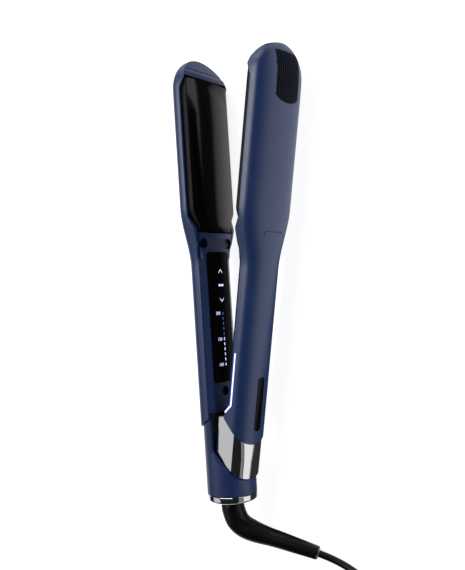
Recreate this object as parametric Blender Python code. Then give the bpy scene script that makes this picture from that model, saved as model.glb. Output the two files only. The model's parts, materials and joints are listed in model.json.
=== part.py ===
"""Wide-plate flat iron, lying on its side with its two arms open in a V.

Each arm is drawn in its own closed frame: u runs outward from the plane where the closed
plates meet, y from the bottom of the end ring to the tips, and z across the iron. The base
arm lies along world +Y. The moving arm turns about the hinge axis, which is parallel to Z.
"""

import math

import bmesh
import bpy
from mathutils import Matrix, Vector

MM = 0.001
GAP = 0.3

# Overall sizes, in millimetres
TIP_Y = 289.2
HINGE_Y = 10.0
OPEN_ANGLE = math.radians(11.0)
HANDLE_HALF_WIDTH = 15.0
HANDLE_DEPTH = 16.5
HEAD_HALF_WIDTH = 22.5
HEAD_DEPTH = 17.5
WALL = 1.8
CENTRE_X = 24.2
CENTRE_Y = 126.9

# Stations along the arm
NECK_BOTTOM = 152.0
NECK_TOP = 190.0
TIP_ARCH_Y = 268.0
COVER_BOTTOM = 57.0
COVER_TOP = 173.8
SIDE_WALL_DEPTH = 6.5
SEAM_U = 3.3
COVER_U, COVER_BACK_U = 0.5, 4.2
FACET_TOP = 156.8
FACET_WIDTH = 4.0
HEAD_EDGE_U = 4.3
HOOD_U = 0.8
TIP_EDGE_U, TIP_DEPTH = 5.6, 8.8
PANEL_BOTTOM, PANEL_TOP = 76.0, 161.3
PANEL_HALF_WIDTH = 10.4

# Heated plates
PLATE_BOTTOM, PLATE_TOP = 174.6, 275.0
PLATE_HALF_WIDTH = 20.2
PLATE_BACK_U = 4.9
CAVITY_TOP = 275.6

# Hinge and cord end
COLLAR_RADIUS = 16.2
COLLAR_WALL = 1.5
COLLAR_BOTTOM = 4.6
RING_HEIGHT = 4.3
PIN_RADIUS = 2.0
SLEEVE_HALF_WIDTH = 13.1
SLEEVE_BOTTOM, SLEEVE_SLANT = 28.0, -0.62
SLEEVE_TOP = 56.6  # it swings in under the base arm's cover
SPINDLE_RADIUS = 4.6

# Cord
CORD_DIAMETER = 4.4
COIL_RADIUS = 26.0
COIL_SIDE = 17.8
COIL_CENTRE = (98.0, -93.0)
FLOOR_Z = -HEAD_HALF_WIDTH
TIE_THICKNESS = 0.6
TIE_BOW = 0.7  # the coil's inner side bows into the straight tie by this much

# The strain relief's centre line and its radii, by share of its length
RELIEF_ROUTE = [(0, 0.3, 0), (0, -7, 0), (3.6, -15.4, -1), (13, -20.6, -3.8), (33, -25.9, -10), (53, -31.4, -16.4)]
RELIEF_RADII = [(0, 7.0), (0.03, 7.0), (0.07, 7.6), (0.2, 7.6), (0.36, 7.0), (0.55, 5.6), (1, 4.2)]

# The cord's route by hand: from the strain relief down to the table and round to the coil
CORD_Z = FLOOR_Z + CORD_DIAMETER / 2
LEAD_ROUTE = [
    (53.5, -31.6, -16.55),
    (60.0, -33.7, -18.4),
    (69.0, -37.0, -20.0),
    (80.0, -41.6, CORD_Z),
    (96.0, -48.0, CORD_Z),
    (113.0, -55.5, CORD_Z),
    (125.0, -64.0, CORD_Z),
    (132.5, -75.5, CORD_Z),
    (135.2, -88.0, CORD_Z),
]
TAIL_ROUTE = [
    (92.0, -130.2, CORD_Z),
    (84.0, -129.8, CORD_Z),
    (77.0, -128.4, -19.6),
    (70.0, -126.4, -17.2),
    (65.0, -124.98, -15.7),
]
TIE_ANGLE = math.radians(150)

# The plug: place of its face, and (x, half-width, half-height) from its face to the cord
PLUG_ANGLE = math.radians(-17)
PLUG_HALF_HEIGHT = 6.85
PLUG_PLACE = (14.0, -109.4)
PLUG_SHAPE = [
    (0, 16.6, 5.9),
    (0.9, 17.6, 6.85),
    (9, 17.4, 6.85),
    (22, 13.6, 6.7),
    (32, 8.2, 6.0),
    (37, 5.4, 5.0),
    (41, 4.6, 4.4),
    (52.5, 3.2, 3.2),
]
PIN_PROFILE = [(0, GAP), (2.0, GAP), (2.0, 18.0), (1.2, 19.0), (0, 19.0)]

# The lower ends of the two shells: height at u = 0, and slant towards the back
BASE_BOTTOM, BASE_SLANT = 55.0, -0.52
MOVING_BOTTOM, MOVING_SLANT = 56.3, -0.95

ARC_STEPS = 7
EXPONENT = 2.2


def clear_scene():
    for item in list(bpy.data.objects):
        bpy.data.objects.remove(item, do_unlink=True)


def make_material(name, colour, roughness, metallic=0.0, emission=0.0):
    made = bpy.data.materials.new(name)
    made.use_nodes = True
    shader = made.node_tree.nodes["Principled BSDF"]
    shader.inputs["Base Color"].default_value = (*colour, 1)
    shader.inputs["Roughness"].default_value = roughness
    shader.inputs["Metallic"].default_value = metallic
    shader.inputs["Emission Color"].default_value = (*colour, 1)
    shader.inputs["Emission Strength"].default_value = emission
    return made


def make_empty(name, location, angle=0.0):
    empty = bpy.data.objects.new(name, None)
    empty.location = [value * MM for value in location]
    empty.rotation_euler = (0, 0, angle)
    bpy.context.scene.collection.objects.link(empty)
    return empty


def add_mesh(name, bm, parent, material=None):
    """An object from a bmesh drawn in millimetres. Without a material it is a hidden helper."""
    bmesh.ops.recalc_face_normals(bm, faces=bm.faces)
    mesh = bpy.data.meshes.new(name)
    bmesh.ops.scale(bm, vec=(MM, MM, MM), verts=bm.verts)
    bm.to_mesh(mesh)
    bm.free()
    made = bpy.data.objects.new(name, mesh)
    made.parent = parent
    bpy.context.scene.collection.objects.link(made)
    if material is None:
        made.hide_render = True
        made.display_type = "WIRE"
    else:
        mesh.materials.append(material)
        mesh.shade_smooth()
        mesh.set_sharp_from_angle(angle=math.radians(35))
    return made


def boolean(target, other, operation):
    modifier = target.modifiers.new(operation.title(), "BOOLEAN")
    modifier.operation = operation
    modifier.solver = "EXACT"
    modifier.object = other


def smooth_step(value, low, high):
    share = min(max((value - low) / (high - low), 0.0), 1.0)
    return share * share * (3 - 2 * share)


def between(value, stops):
    """Straight-line reading of a list of (place, value) stops."""
    if value <= stops[0][0]:
        return stops[0][1]
    for (a, first), (b, second) in zip(stops, stops[1:]):
        if value <= b:
            return first + (second - first) * (value - a) / (b - a)
    return stops[-1][1]


def loft(rings):
    """A closed body through rings of points, with flat ends."""
    bm = bmesh.new()
    rows = [[bm.verts.new(point) for point in ring] for ring in rings]
    count = len(rows[0])
    for first, second in zip(rows, rows[1:]):
        for i in range(count):
            j = (i + 1) % count
            bm.faces.new((first[i], first[j], second[j], second[i]))
    bm.faces.new(rows[0][::-1])
    bm.faces.new(rows[-1])
    return bm


def prism(outline, low, high, place):
    """An outline of (a, b) points extruded from low to high. place turns (a, b, c) into x, y, z."""
    return loft([[place(a, b, c) for a, b in outline] for c in (low, high)])


def turned(profile, place, segments=24):
    """A closed (radius, height) profile turned round an axis. place turns (a, b, h) into x, y, z."""
    bm = bmesh.new()
    rows = []
    for step in range(segments):
        turn = 2 * math.pi * step / segments
        ring = [place(r * math.cos(turn), r * math.sin(turn), h) for r, h in profile]
        rows.append([bm.verts.new(point) for point in ring])
    count = len(profile)
    for k in range(segments):
        first, second = rows[k], rows[(k + 1) % segments]
        for i in range(count):
            j = (i + 1) % count
            if profile[i][0] or profile[j][0]:
                bm.faces.new((first[i], first[j], second[j], second[i]))
    bmesh.ops.remove_doubles(bm, verts=bm.verts, dist=1e-5)
    return bm


def merged(*meshes):
    """One bmesh that holds several."""
    whole = bmesh.new()
    for part in meshes:
        mesh = bpy.data.meshes.new("merged")
        part.to_mesh(mesh)
        part.free()
        whole.from_mesh(mesh)
        bpy.data.meshes.remove(mesh)
    return whole


class Arm:
    """One arm's frame: side is -1 for the base arm and 1 for the moving arm."""

    def __init__(self, prefix, side, parent):
        self.prefix = prefix
        self.side = side
        self.parent = parent

    def point(self, u, y, z):
        return (self.side * u, y - HINGE_Y, z)

    def box(self, low, high):
        (u0, y0, z0), (u1, y1, z1) = low, high
        outline = [(u0, y0), (u1, y0), (u1, y1), (u0, y1)]
        return prism(outline, z0, z1, self.point)

    def rod(self, u0, u1, radius, y, z, segments=16):
        profile = [(0, u0), (radius, u0), (radius, u1), (0, u1)]
        return turned(profile, lambda a, b, h: self.point(h, y + a, z + b), segments)

    def add(self, name, bm, material=None):
        return add_mesh(f"{self.prefix}_{name}", bm, self.parent, material)


def half_width(y):
    if y > TIP_ARCH_Y:
        share = (y - TIP_ARCH_Y) / (TIP_Y - TIP_ARCH_Y)
        return HEAD_HALF_WIDTH * math.sqrt(max(1 - share * share, 0.001))
    grown = smooth_step(y, NECK_BOTTOM, NECK_TOP)
    return HANDLE_HALF_WIDTH + (HEAD_HALF_WIDTH - HANDLE_HALF_WIDTH) * grown


def depth(y):
    if y > TIP_ARCH_Y - 14:
        share = (y - TIP_ARCH_Y + 14) / (TIP_Y - TIP_ARCH_Y + 14)
        return TIP_DEPTH + (HEAD_DEPTH - TIP_DEPTH) * math.sqrt(max(1 - share**3, 0.001))
    return HANDLE_DEPTH + (HEAD_DEPTH - HANDLE_DEPTH) * smooth_step(y, NECK_BOTTOM, NECK_TOP)


def side_depth(y):
    return SIDE_WALL_DEPTH + 0.4 * smooth_step(y, TIP_ARCH_Y - 4, TIP_Y)


def d_section(edge, flat, deep, wide):
    """The D outline of an arm in (u, z): flat side walls from the edge, then a rounded back."""
    half = []
    for step in range(ARC_STEPS + 1):
        turn = math.pi / 2 * step / ARC_STEPS
        u = flat + (deep - flat) * math.sin(turn) ** (2 / EXPONENT)
        half.append((u, wide * math.cos(turn) ** (2 / EXPONENT)))
    half[-1] = (deep, 0.0)
    outline = [(edge, wide)] + half
    return outline + [(u, -z) for u, z in reversed(outline[:-1])]


def stations(bottom):
    """Heights of the arm's rings, closer together where it curves."""
    low = [bottom + (NECK_BOTTOM - bottom) * share for share in (0, 0.05, 0.1, 0.2, 0.35, 0.65, 1)]
    neck = [NECK_BOTTOM + (NECK_TOP - NECK_BOTTOM) * k / 7 for k in range(1, 8)]
    head = [225.0, 252.0, 260.0]
    tip = [
        TIP_ARCH_Y + (TIP_Y - TIP_ARCH_Y) * math.sin(math.radians(turn))
        for turn in (0, 14, 28, 42, 55, 67, 77, 86)
    ]
    return low + neck + head + tip


def arm_solid(arm, bottom, slant, edge, inset=0.0):
    """The arm's outer solid. slant tilts its lower end, and edge gives the inner face's u by y."""
    rings = []
    for y in stations(bottom):
        lean = slant * (1 - smooth_step(y, bottom, bottom + 45))
        section = d_section(
            edge(y), side_depth(y), depth(y) - inset, half_width(y) - inset
        )
        rings.append([arm.point(u, y + lean * u, z) for u, z in section])
    return loft(rings)


def cavity_half_width(y):
    """Half-width of the hollow: it narrows round the lower corners of the plate."""
    if y < 160:
        return half_width(y) - WALL
    stops = [
        (160.0, half_width(160.0) - WALL),
        (168.0, half_width(168.0) - WALL),
        (175.0, 17.3),
        (178.0, 17.3),
        (184.5, half_width(184.5) - WALL),
        (190.0, HEAD_HALF_WIDTH - WALL),
        (262.0, HEAD_HALF_WIDTH - WALL),
        (CAVITY_TOP, HEAD_HALF_WIDTH - WALL - 0.4),
    ]
    return between(y, stops)


def cavity(arm, bottom, slant):
    """The hollow of the shell, open towards the plates and at the hinge end."""
    rows = [bottom - 14.0, bottom + 8.0, 70.0, 100.0, 148.0, 156.0]
    rows += [160.0, 168.0, 175.0, 178.0, 184.5, 190.0, 262.0, CAVITY_TOP]
    rings = []
    for y in rows:
        lean = slant * (1 - smooth_step(y, bottom, bottom + 45))
        section = d_section(-6.0, side_depth(y), depth(y) - WALL, cavity_half_width(y))
        rings.append([arm.point(u, y + lean * u, z) for u, z in section])
    return loft(rings)


def edge_stops(arm):
    """Where the shell's inner edge lies: at the seam, over the plate's corners and at the hood."""
    stops = [
        (160.0, SEAM_U),
        (167.0, HOOD_U + 0.6),
        (176.0, HOOD_U),
        (184.0, HEAD_EDGE_U),
        (267.0, HEAD_EDGE_U),
        (273.5, HOOD_U),
        (278.0, HOOD_U + 0.5),
        (TIP_Y, TIP_EDGE_U),
    ]
    if arm.side > 0:
        stops = [(57.0, 0.4), (61.0, 0.6), (65.8, SEAM_U)] + stops
    return stops


def screw_places():
    return [(166.8, 12.0), (166.8, -12.0), (70.0, 0.0)]


def make_shell(arm, bottom, slant, paint, rubber):
    stops = edge_stops(arm)
    shell = arm.add("shell", arm_solid(arm, bottom, slant, lambda y: between(y, stops)), paint)
    boolean(shell, arm.add("cavity", cavity(arm, bottom, slant)), "DIFFERENCE")
    bosses, bores = [], []
    for y, z in screw_places():
        back = 12.0 if z else HANDLE_DEPTH - 1.2
        bosses.append(arm.rod(4.7, back, 2.6, y, z, 12))
        bores.append(arm.rod(3.0, 11.0, 1.5, y, z, 10))
    boolean(shell, arm.add("bosses", merged(*bosses)), "UNION")
    boolean(shell, arm.add("bores", merged(*bores)), "DIFFERENCE")
    make_tip_grip(arm, shell, rubber)
    return shell


def grip_outline(inset):
    """The grip pad's outline in (y, z): square at the tip end and bowed at the other."""
    wide, top, corner = 11.6 - inset, 284.0 - inset, 258.0
    outline = [(top, -wide), (top, wide), (corner, wide)]
    for step in range(1, 6):
        turn = math.pi * step / 6
        outline.append((corner - (5.4 - inset) * math.sin(turn), wide * math.cos(turn)))
    outline.append((corner, -wide))
    return outline


def make_tip_grip(arm, shell, rubber):
    """A thin ribbed pad let into the back of the tip."""

    def block(inset):
        return prism(grip_outline(inset), 7.0, 25.0, lambda y, z, u: arm.point(u, y, z))

    def solid(inset):
        return arm_solid(arm, 100.0, 0.0, lambda y: -1.0, inset)

    pocket = arm.add("grip_pocket", block(0.0))
    boolean(pocket, arm.add("grip_floor", solid(1.0)), "DIFFERENCE")
    boolean(shell, pocket, "DIFFERENCE")
    pad = arm.add("tip_grip", block(GAP), rubber)
    boolean(pad, arm.add("grip_top", solid(0.1)), "INTERSECT")
    boolean(pad, arm.add("grip_back", solid(0.7)), "DIFFERENCE")


def cover_section(y, bottom_flat):
    """The cover's outline in (u, z): a flat face between two slanting sides, and a raised back."""
    inner = cavity_half_width(y) - GAP
    if bottom_flat < y < FACET_TOP:
        wide, flat = half_width(y) - 0.1, half_width(y) - FACET_WIDTH
        rim, lip = SEAM_U - GAP, SEAM_U - GAP
    else:
        wide, flat = inner - 0.15, inner - 0.6
        rim, lip = COVER_U + 0.4, COVER_U + 1.4
    half = [(COVER_U, flat), (rim, wide), (lip, inner), (COVER_BACK_U, inner - 0.1)]
    return half + [(u, -z) for u, z in reversed(half)]


def make_inner_cover(arm, material, bottom_flat):
    rows = [COVER_BOTTOM + GAP, 66.1, 66.5, 100.0, 140.0, 152.0, FACET_TOP - 0.1]
    rows += [FACET_TOP + 0.4, 160.0, 168.0, COVER_TOP]
    rings = []
    for y in rows:
        rings.append([arm.point(u, y, z) for u, z in cover_section(y, bottom_flat)])
    cover = arm.add("inner_cover", loft(rings), material)
    holes = [arm.rod(-2.0, 6.0, 3.5 if z else 3.1, y, z, 20) for y, z in screw_places()]
    boolean(cover, arm.add("cover_holes", merged(*holes)), "DIFFERENCE")
    return cover


def make_screws(arm, material):
    for number, (y, z) in enumerate(screw_places(), 1):
        profile = [(0, 2.4), (2.3, 2.4), (2.7, 2.8), (2.7, 4.4), (1.2, 4.4), (1.2, 10.6), (0, 10.6)]
        bm = turned(profile, lambda a, b, h: arm.point(h, y + a, z + b), 12)
        arm.add(f"screw_{number}", bm, material)


def plate_outline(inset):
    """The plate's outline in (y, z), with cut lower corners and a slightly bowed top end."""
    half = PLATE_HALF_WIDTH - inset
    low, top = PLATE_BOTTOM, PLATE_TOP - 0.4
    right = [(low, half - 4.6), (low + 3.6, half - 4.6), (low + 14.0, half), (top - 8.6, half)]
    for step in range(5):
        z = (half - 0.5) * (1 - step / 5)
        right.append((top - 1.2 * (z / half) ** 2, z))
    return right + [(top, 0.0)] + [(y, -z) for y, z in reversed(right)]


def make_plate(arm, finish):
    """The heated plate: a slab whose long edges are rounded over."""
    rings = []
    for u, inset in ((PLATE_BACK_U, 0), (1.7, 0), (0.75, 0.45), (0.35, 1.3), (0.15, 2.6)):
        rings.append([arm.point(u, y, z) for y, z in plate_outline(inset)])
    return arm.add("plate", loft(rings), finish)


def make_heating(arm, looks):
    """Plate carrier, heater, clamp, sensor and the rubber pads that the plate floats on."""
    side = HEAD_HALF_WIDTH - WALL - 1.8
    frame = arm.add("plate_frame", arm.box((6.8, 187.0, -side), (9.0, 270.0, side)), looks["heatproof"])
    window = arm.box((2.0, 191.0, 4.5 - side), (20.0, 266.0, side - 4.5))
    boolean(frame, arm.add("frame_window", window), "DIFFERENCE")
    back = PLATE_BACK_U + GAP
    heater_back = back + 2.0
    arm.add("heater", arm.box((back, 193.0, -10.0), (heater_back, 264.0, 10.0)), looks["ceramic"])
    clamp = arm.box((heater_back + GAP, 195.0, -12.0), (heater_back + 1.5, 262.0, 12.0))
    arm.add("heater_clamp", clamp, looks["steel"])
    sensor = arm.box((back, 232.0, 12.4), (back + 1.6, 240.0, 14.4))
    arm.add("heat_sensor", sensor, looks["glass"])
    for name, y in (("lower", 187.6), ("upper", 266.6)):
        pad = arm.box((back, y, -6.0), (back + 0.7, y + 2.8, 6.0))
        arm.add(f"float_pad_{name}", pad, looks["silicone"])


def rounded_outline(low, high, half, radius):
    """A rounded rectangle in (y, z), from low to high and half to each side."""
    outline = []
    for cy, cz, start in (
        (high - radius, half - radius, 0),
        (low + radius, half - radius, 1),
        (low + radius, radius - half, 2),
        (high - radius, radius - half, 3),
    ):
        for step in range(5):
            turn = math.pi / 2 * (start + step / 4)
            outline.append((cy + radius * math.cos(turn), cz + radius * math.sin(turn)))
    return outline


def flat_piece(arm, outline, u0, u1):
    return prism(outline, u0, u1, lambda y, z, u: arm.point(u, y, z))


def make_panel(arm, cover, looks):
    """The touch panel and its board, let into the base arm's inner cover."""
    half = PANEL_HALF_WIDTH
    pocket = rounded_outline(PANEL_BOTTOM - GAP, PANEL_TOP + GAP, half + GAP, 3.5)
    boolean(cover, arm.add("panel_pocket", flat_piece(arm, pocket, -2.0, 2.0)), "DIFFERENCE")
    panel = rounded_outline(PANEL_BOTTOM, PANEL_TOP, half, 3.2)
    add_mesh("control_panel", flat_piece(arm, panel, 0.4, 1.7), arm.parent, looks["gloss"])
    board = arm.box((4.5, 80.0, -9.0), (5.9, 150.0, 9.0))
    add_mesh("control_board", board, arm.parent, looks["board"])


def make_badge(arm, shell, looks):
    """A blank capsule let into the moving arm's back."""
    pocket = flat_piece(arm, rounded_outline(49.0 - GAP, 84.0 + GAP, 3.25 + GAP, 3.5), 15.5, 20.0)
    boolean(shell, arm.add("badge_pocket", pocket), "DIFFERENCE")
    badge = flat_piece(arm, rounded_outline(49.0, 84.0, 3.25, 3.2), 15.8, 16.35)
    add_mesh("badge", badge, arm.parent, looks["gloss"])


def ribbon(line, half, extra):
    """The outline of a band of this half-width along a line, which runs past both ends by extra."""
    points = [Vector(point) for point in line]
    ahead = [(b - a).normalized() for a, b in zip(points, points[1:])]
    points[0] = points[0] - ahead[0] * extra
    points[-1] = points[-1] + ahead[-1] * extra
    left, right = [], []
    for k, point in enumerate(points):
        before, after = ahead[max(k - 1, 0)], ahead[min(k, len(ahead) - 1)]
        middle = (before + after).normalized()
        across_line = Vector((-middle.y, middle.x)) * half / middle.dot(before)
        left.append(tuple(point + across_line))
        right.append(tuple(point - across_line))
    return left + right[::-1]


def make_light(arm, shell, looks):
    """The status light, let into the side wall, and the board behind it."""

    def strip(grow, low, high):
        line = [(5.5, 98.6), (5.5, 67.2), (3.3, 64.5)]
        return prism(ribbon(line, 0.7 + grow, grow), low, high, arm.point)

    outer = HANDLE_HALF_WIDTH
    boolean(shell, arm.add("light_pocket", strip(GAP, outer - 1.1, outer + 2)), "DIFFERENCE")
    add_mesh("light_strip", strip(0, outer - 0.8, outer - 0.1), arm.parent, looks["light"])
    board = arm.box((5.6, 84.0, -9.0), (7.0, 148.0, 9.0))
    add_mesh("power_board", board, arm.parent, looks["board"])


def rim_height(x):
    """The collar's slanting rim: high beside the base arm and low beside the moving arm."""
    return between(x, [(-2.0, 31.5), (3.9, 25.6), (8.5, 20.2), (COLLAR_RADIUS, 14.4)])


def upright(a, b, h):
    """Places a turned profile's height along the iron."""
    return (a, h - HINGE_Y, b)


def across(a, b, h):
    """Places a turned profile's height along the hinge axis."""
    return (a, b, h)


def make_collar(root, paint):
    """The round cup that carries the hinge, with a tongue that runs up into the base arm."""
    outer, inner = COLLAR_RADIUS, COLLAR_RADIUS - COLLAR_WALL
    floor = COLLAR_BOTTOM + 1.4
    profile = [
        (5.2, COLLAR_BOTTOM),
        (outer, COLLAR_BOTTOM),
        (outer, 56.0),
        (inner, 56.0),
        (inner, floor),
        (5.2, floor),
    ]
    collar = add_mesh("hinge_collar", turned(profile, upright, 40), root, paint)
    top = [(x, rim_height(x) - HINGE_Y) for x in (20.0, COLLAR_RADIUS, 8.5, 3.9, -1.9)]
    mouth = [(20.0, 60.0)] + top + [(-1.9, 60.0)]
    cutter = prism(mouth, -20.0, 20.0, lambda x, y, z: (x, y, z))
    boolean(collar, add_mesh("collar_mouth", cutter, root), "DIFFERENCE")
    slope = [(-20.0, 60.0), (-20.0, 34.4), (0.0, 44.6), (0.0, 60.0)]
    cutter = prism(slope, -20.0, 20.0, lambda x, y, z: (x, y, z))
    boolean(collar, add_mesh("collar_slope", cutter, root), "DIFFERENCE")
    cheeks = []
    for z in (10.6, -12.6):
        outline = [(-5.0, floor - 0.8), (5.0, floor - 0.8), (5.0, 14.0), (3.0, 16.0), (-3.0, 16.0), (-5.0, 14.0)]
        cheeks.append(prism(outline, z, z + 2.0, lambda x, y, h: (x, y - HINGE_Y, h)))
    boolean(collar, add_mesh("collar_cheeks", merged(*cheeks), root), "UNION")
    bore = turned([(0, -13.2), (PIN_RADIUS + GAP, -13.2), (PIN_RADIUS + GAP, 13.2), (0, 13.2)], across, 16)
    boolean(collar, add_mesh("collar_bore", bore, root), "DIFFERENCE")


def make_end_ring(root, looks):
    outer, lip, inside = COLLAR_RADIUS, 7.6, COLLAR_RADIUS - 2.0
    profile = [
        (lip, 0.0),
        (outer - 0.6, 0.0),
        (outer, 0.6),
        (outer, RING_HEIGHT),
        (inside, RING_HEIGHT),
        (inside, 1.6),
        (lip, 1.6),
    ]
    add_mesh("end_ring", turned(profile, upright, 40), root, looks["chrome"])
    bush = [(9.6, 1.9), (13.0, 1.9), (13.0, 4.0), (9.6, 4.0)]
    add_mesh("swivel_bush", turned(bush, upright, 24), root, looks["bronze"])


def make_hinge_pin(root, steel):
    pin = [(0, -12.9), (PIN_RADIUS - 0.4, -12.9), (PIN_RADIUS, -12.5), (PIN_RADIUS, 12.5)]
    pin += [(PIN_RADIUS - 0.4, 12.9), (0, 12.9)]
    add_mesh("hinge_pin", turned(pin, across, 16), root, steel)


def make_wire(name, points, diameter, parent, material, resolution=1):
    """A round wire or cord along points in millimetres."""
    curve = bpy.data.curves.new(name, "CURVE")
    curve.dimensions = "3D"
    curve.bevel_depth = diameter / 2 * MM
    curve.bevel_resolution = resolution
    curve.use_fill_caps = True
    spline = curve.splines.new("POLY")
    spline.points.add(len(points) - 1)
    for knot, point in zip(spline.points, points):
        knot.co = (*[value * MM for value in point], 1)
    curve.materials.append(material)
    made = bpy.data.objects.new(name, curve)
    made.parent = parent
    bpy.context.scene.collection.objects.link(made)
    return made


def make_spring(root, steel):
    """The torsion spring that holds the arms open, coiled round the hinge pin."""
    radius, turns, pitch, steps = 3.1, 5.75, 1.35, 12
    low = -turns * pitch / 2
    points = [(-10.0, radius, low), (-5.0, radius, low)]
    for step in range(int(turns * steps) + 1):
        turn = math.pi / 2 - 2 * math.pi * step / steps
        points.append((radius * math.cos(turn), radius * math.sin(turn), low + pitch * step / steps))
    x, y, z = points[-1]
    points += [(x, y + 6.0, z), (x, y + 12.0, z)]
    make_wire("hinge_spring", points, 1.2, root, steel)


def make_sleeve(arm, looks):
    """The chrome lower end of the moving arm, with a skirt that runs inside the base's tongue."""
    wide, bottom = SLEEVE_HALF_WIDTH, SLEEVE_BOTTOM

    def ring(y, slant, thick):
        half = []
        for u, z in ((-6.8, wide - 1.1), (-5.8, wide - 0.5), (-4.6, wide - 0.1), (2.0, wide)):
            half.append((u, z - thick))
        for step in range(ARC_STEPS + 1):
            turn = math.pi / 2 * step / ARC_STEPS
            u = 7.0 + (15.4 - 7.0 - thick) * math.sin(turn) ** (2 / EXPONENT)
            half.append((u, (wide - thick) * math.cos(turn) ** (2 / EXPONENT)))
        half[-1] = (15.4 - thick, 0.0)
        outline = half + [(u, -z) for u, z in reversed(half[:-1])]
        return [arm.point(u, y + slant * u, z) for u, z in outline]

    top = MOVING_BOTTOM - 2 * GAP
    sleeve = add_mesh(
        "hinge_sleeve",
        loft([ring(bottom, SLEEVE_SLANT, 0), ring(top, MOVING_SLANT, 0)]),
        arm.parent,
        looks["chrome"],
    )
    hollow = loft([ring(bottom - 5, SLEEVE_SLANT, 1.5), ring(top + 5, MOVING_SLANT, 1.5)])
    boolean(sleeve, arm.add("sleeve_hollow", hollow), "DIFFERENCE")
    open_side = arm.box((-12.0, 0.0, 2.9 - wide), (-4.0, 80.0, wide - 2.9))
    boolean(sleeve, arm.add("sleeve_mouth", open_side), "DIFFERENCE")
    corner = [(-12.0, SLEEVE_TOP - 10.0), (-3.6, SLEEVE_TOP), (20.0, SLEEVE_TOP), (20.0, 80.0), (-12.0, 80.0)]
    above = prism(corner, -20.0, 20.0, arm.point)
    boolean(sleeve, arm.add("sleeve_top", above), "DIFFERENCE")
    make_knuckle(arm, looks)


def make_knuckle(arm, looks):
    """The forked hinge arm inside the sleeve: two barrels round the pin, joined above the spring."""
    block = arm.box((-3.2, HINGE_Y + 1.0, -10.2), (6.0, 34.0, 10.2))
    knuckle = add_mesh("hinge_knuckle", block, arm.parent, looks["steel"])
    barrel = turned([(0, -10.2), (3.4, -10.2), (3.4, 10.2), (0, 10.2)], across, 16)
    boolean(knuckle, arm.add("knuckle_barrel", barrel), "UNION")
    slot = arm.box((-20.0, 0.0, -5.0), (20.0, 25.0, 5.0))
    boolean(knuckle, arm.add("knuckle_slot", slot), "DIFFERENCE")
    hole = PIN_RADIUS + GAP
    bore = turned([(0, -20.0), (hole, -20.0), (hole, 20.0), (0, 20.0)], across, 16)
    boolean(knuckle, arm.add("knuckle_bore", bore), "DIFFERENCE")


def smooth_path(route, spacing):
    """Points at even spacing along a Catmull-Rom curve through the route's points."""
    points = [Vector(point) for point in route]
    points = [2 * points[0] - points[1]] + points + [2 * points[-1] - points[-2]]
    fine = []
    for a, b, c, d in zip(points, points[1:], points[2:], points[3:]):
        for step in range(24):
            t = step / 24
            fine.append(
                0.5 * (2 * b + (c - a) * t + (2 * a - 5 * b + 4 * c - d) * t**2 + (3 * b - a - 3 * c + d) * t**3)
            )
    fine.append(points[-2])
    kept, walked = [fine[0]], 0.0
    length = sum((b - a).length for a, b in zip(fine, fine[1:]))
    step = length / max(round(length / spacing), 1)
    for a, b in zip(fine, fine[1:]):
        walked += (b - a).length
        if walked >= step * len(kept) - 1e-6 and len(kept) * step < length - step / 2:
            kept.append(b)
    return kept + [fine[-1]]


def round_loft(path, radii, segments=14):
    """A round body along a path, with a radius at each point."""
    rings = []
    side = Vector((0, 0, 1))
    for k, point in enumerate(path):
        ahead = (path[min(k + 1, len(path) - 1)] - path[max(k - 1, 0)]).normalized()
        side = (side - ahead * side.dot(ahead)).normalized()
        other = ahead.cross(side)
        ring = []
        for step in range(segments):
            turn = 2 * math.pi * step / segments
            ring.append(point + (side * math.cos(turn) + other * math.sin(turn)) * radii[k])
        rings.append(ring)
    return loft(rings)


def make_swivel(swivel, looks):
    """The hollow spindle held in the end ring, and the bent strain relief below it."""
    spindle = [
        (3.0, 0.8),
        (6.0, 0.8),
        (6.0, 1.9),
        (9.0, 1.9),
        (9.0, 3.4),
        (SPINDLE_RADIUS, 3.4),
        (SPINDLE_RADIUS, 6.1),
        (3.0, 6.1),
    ]
    add_mesh("swivel_spindle", turned(spindle, upright, 20), swivel, looks["heatproof"])
    path = smooth_path([Vector(p) - Vector((0, HINGE_Y, 0)) for p in RELIEF_ROUTE], 4.0)
    last = len(path) - 1
    radii = [between(k / last, RELIEF_RADII) for k in range(last + 1)]
    add_mesh("strain_relief", round_loft(path, radii), swivel, looks["rubber"])


def make_cord(root, looks):
    """The lead on the table: the run to the coil, the coil with its tie, the tail and the plug."""

    def lowered(points):
        return [Vector(point) - Vector((0, HINGE_Y, 0)) for point in points]

    lead = smooth_path(lowered(LEAD_ROUTE), 2.5 * CORD_DIAMETER)
    make_wire("cord_lead", lead, CORD_DIAMETER, root, looks["rubber"], 2)
    tail = smooth_path(lowered(TAIL_ROUTE), 2.5 * CORD_DIAMETER)
    make_wire("cord_tail", tail, CORD_DIAMETER, root, looks["rubber"], 2)
    cx, cy = COIL_CENTRE
    low = FLOOR_Z + TIE_THICKNESS + GAP
    inner, outer = COIL_RADIUS - COIL_SIDE / 2, COIL_RADIUS + COIL_SIDE / 2
    profile = [(inner, low), (outer, low), (outer, low + COIL_SIDE), (inner, low + COIL_SIDE)]
    coil = turned(profile, lambda a, b, h: (cx + a, cy - HINGE_Y + b, h), 32)
    add_mesh("cord_coil", coil, root, looks["rubber"])
    make_tie(root, looks["silicone"])


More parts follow.
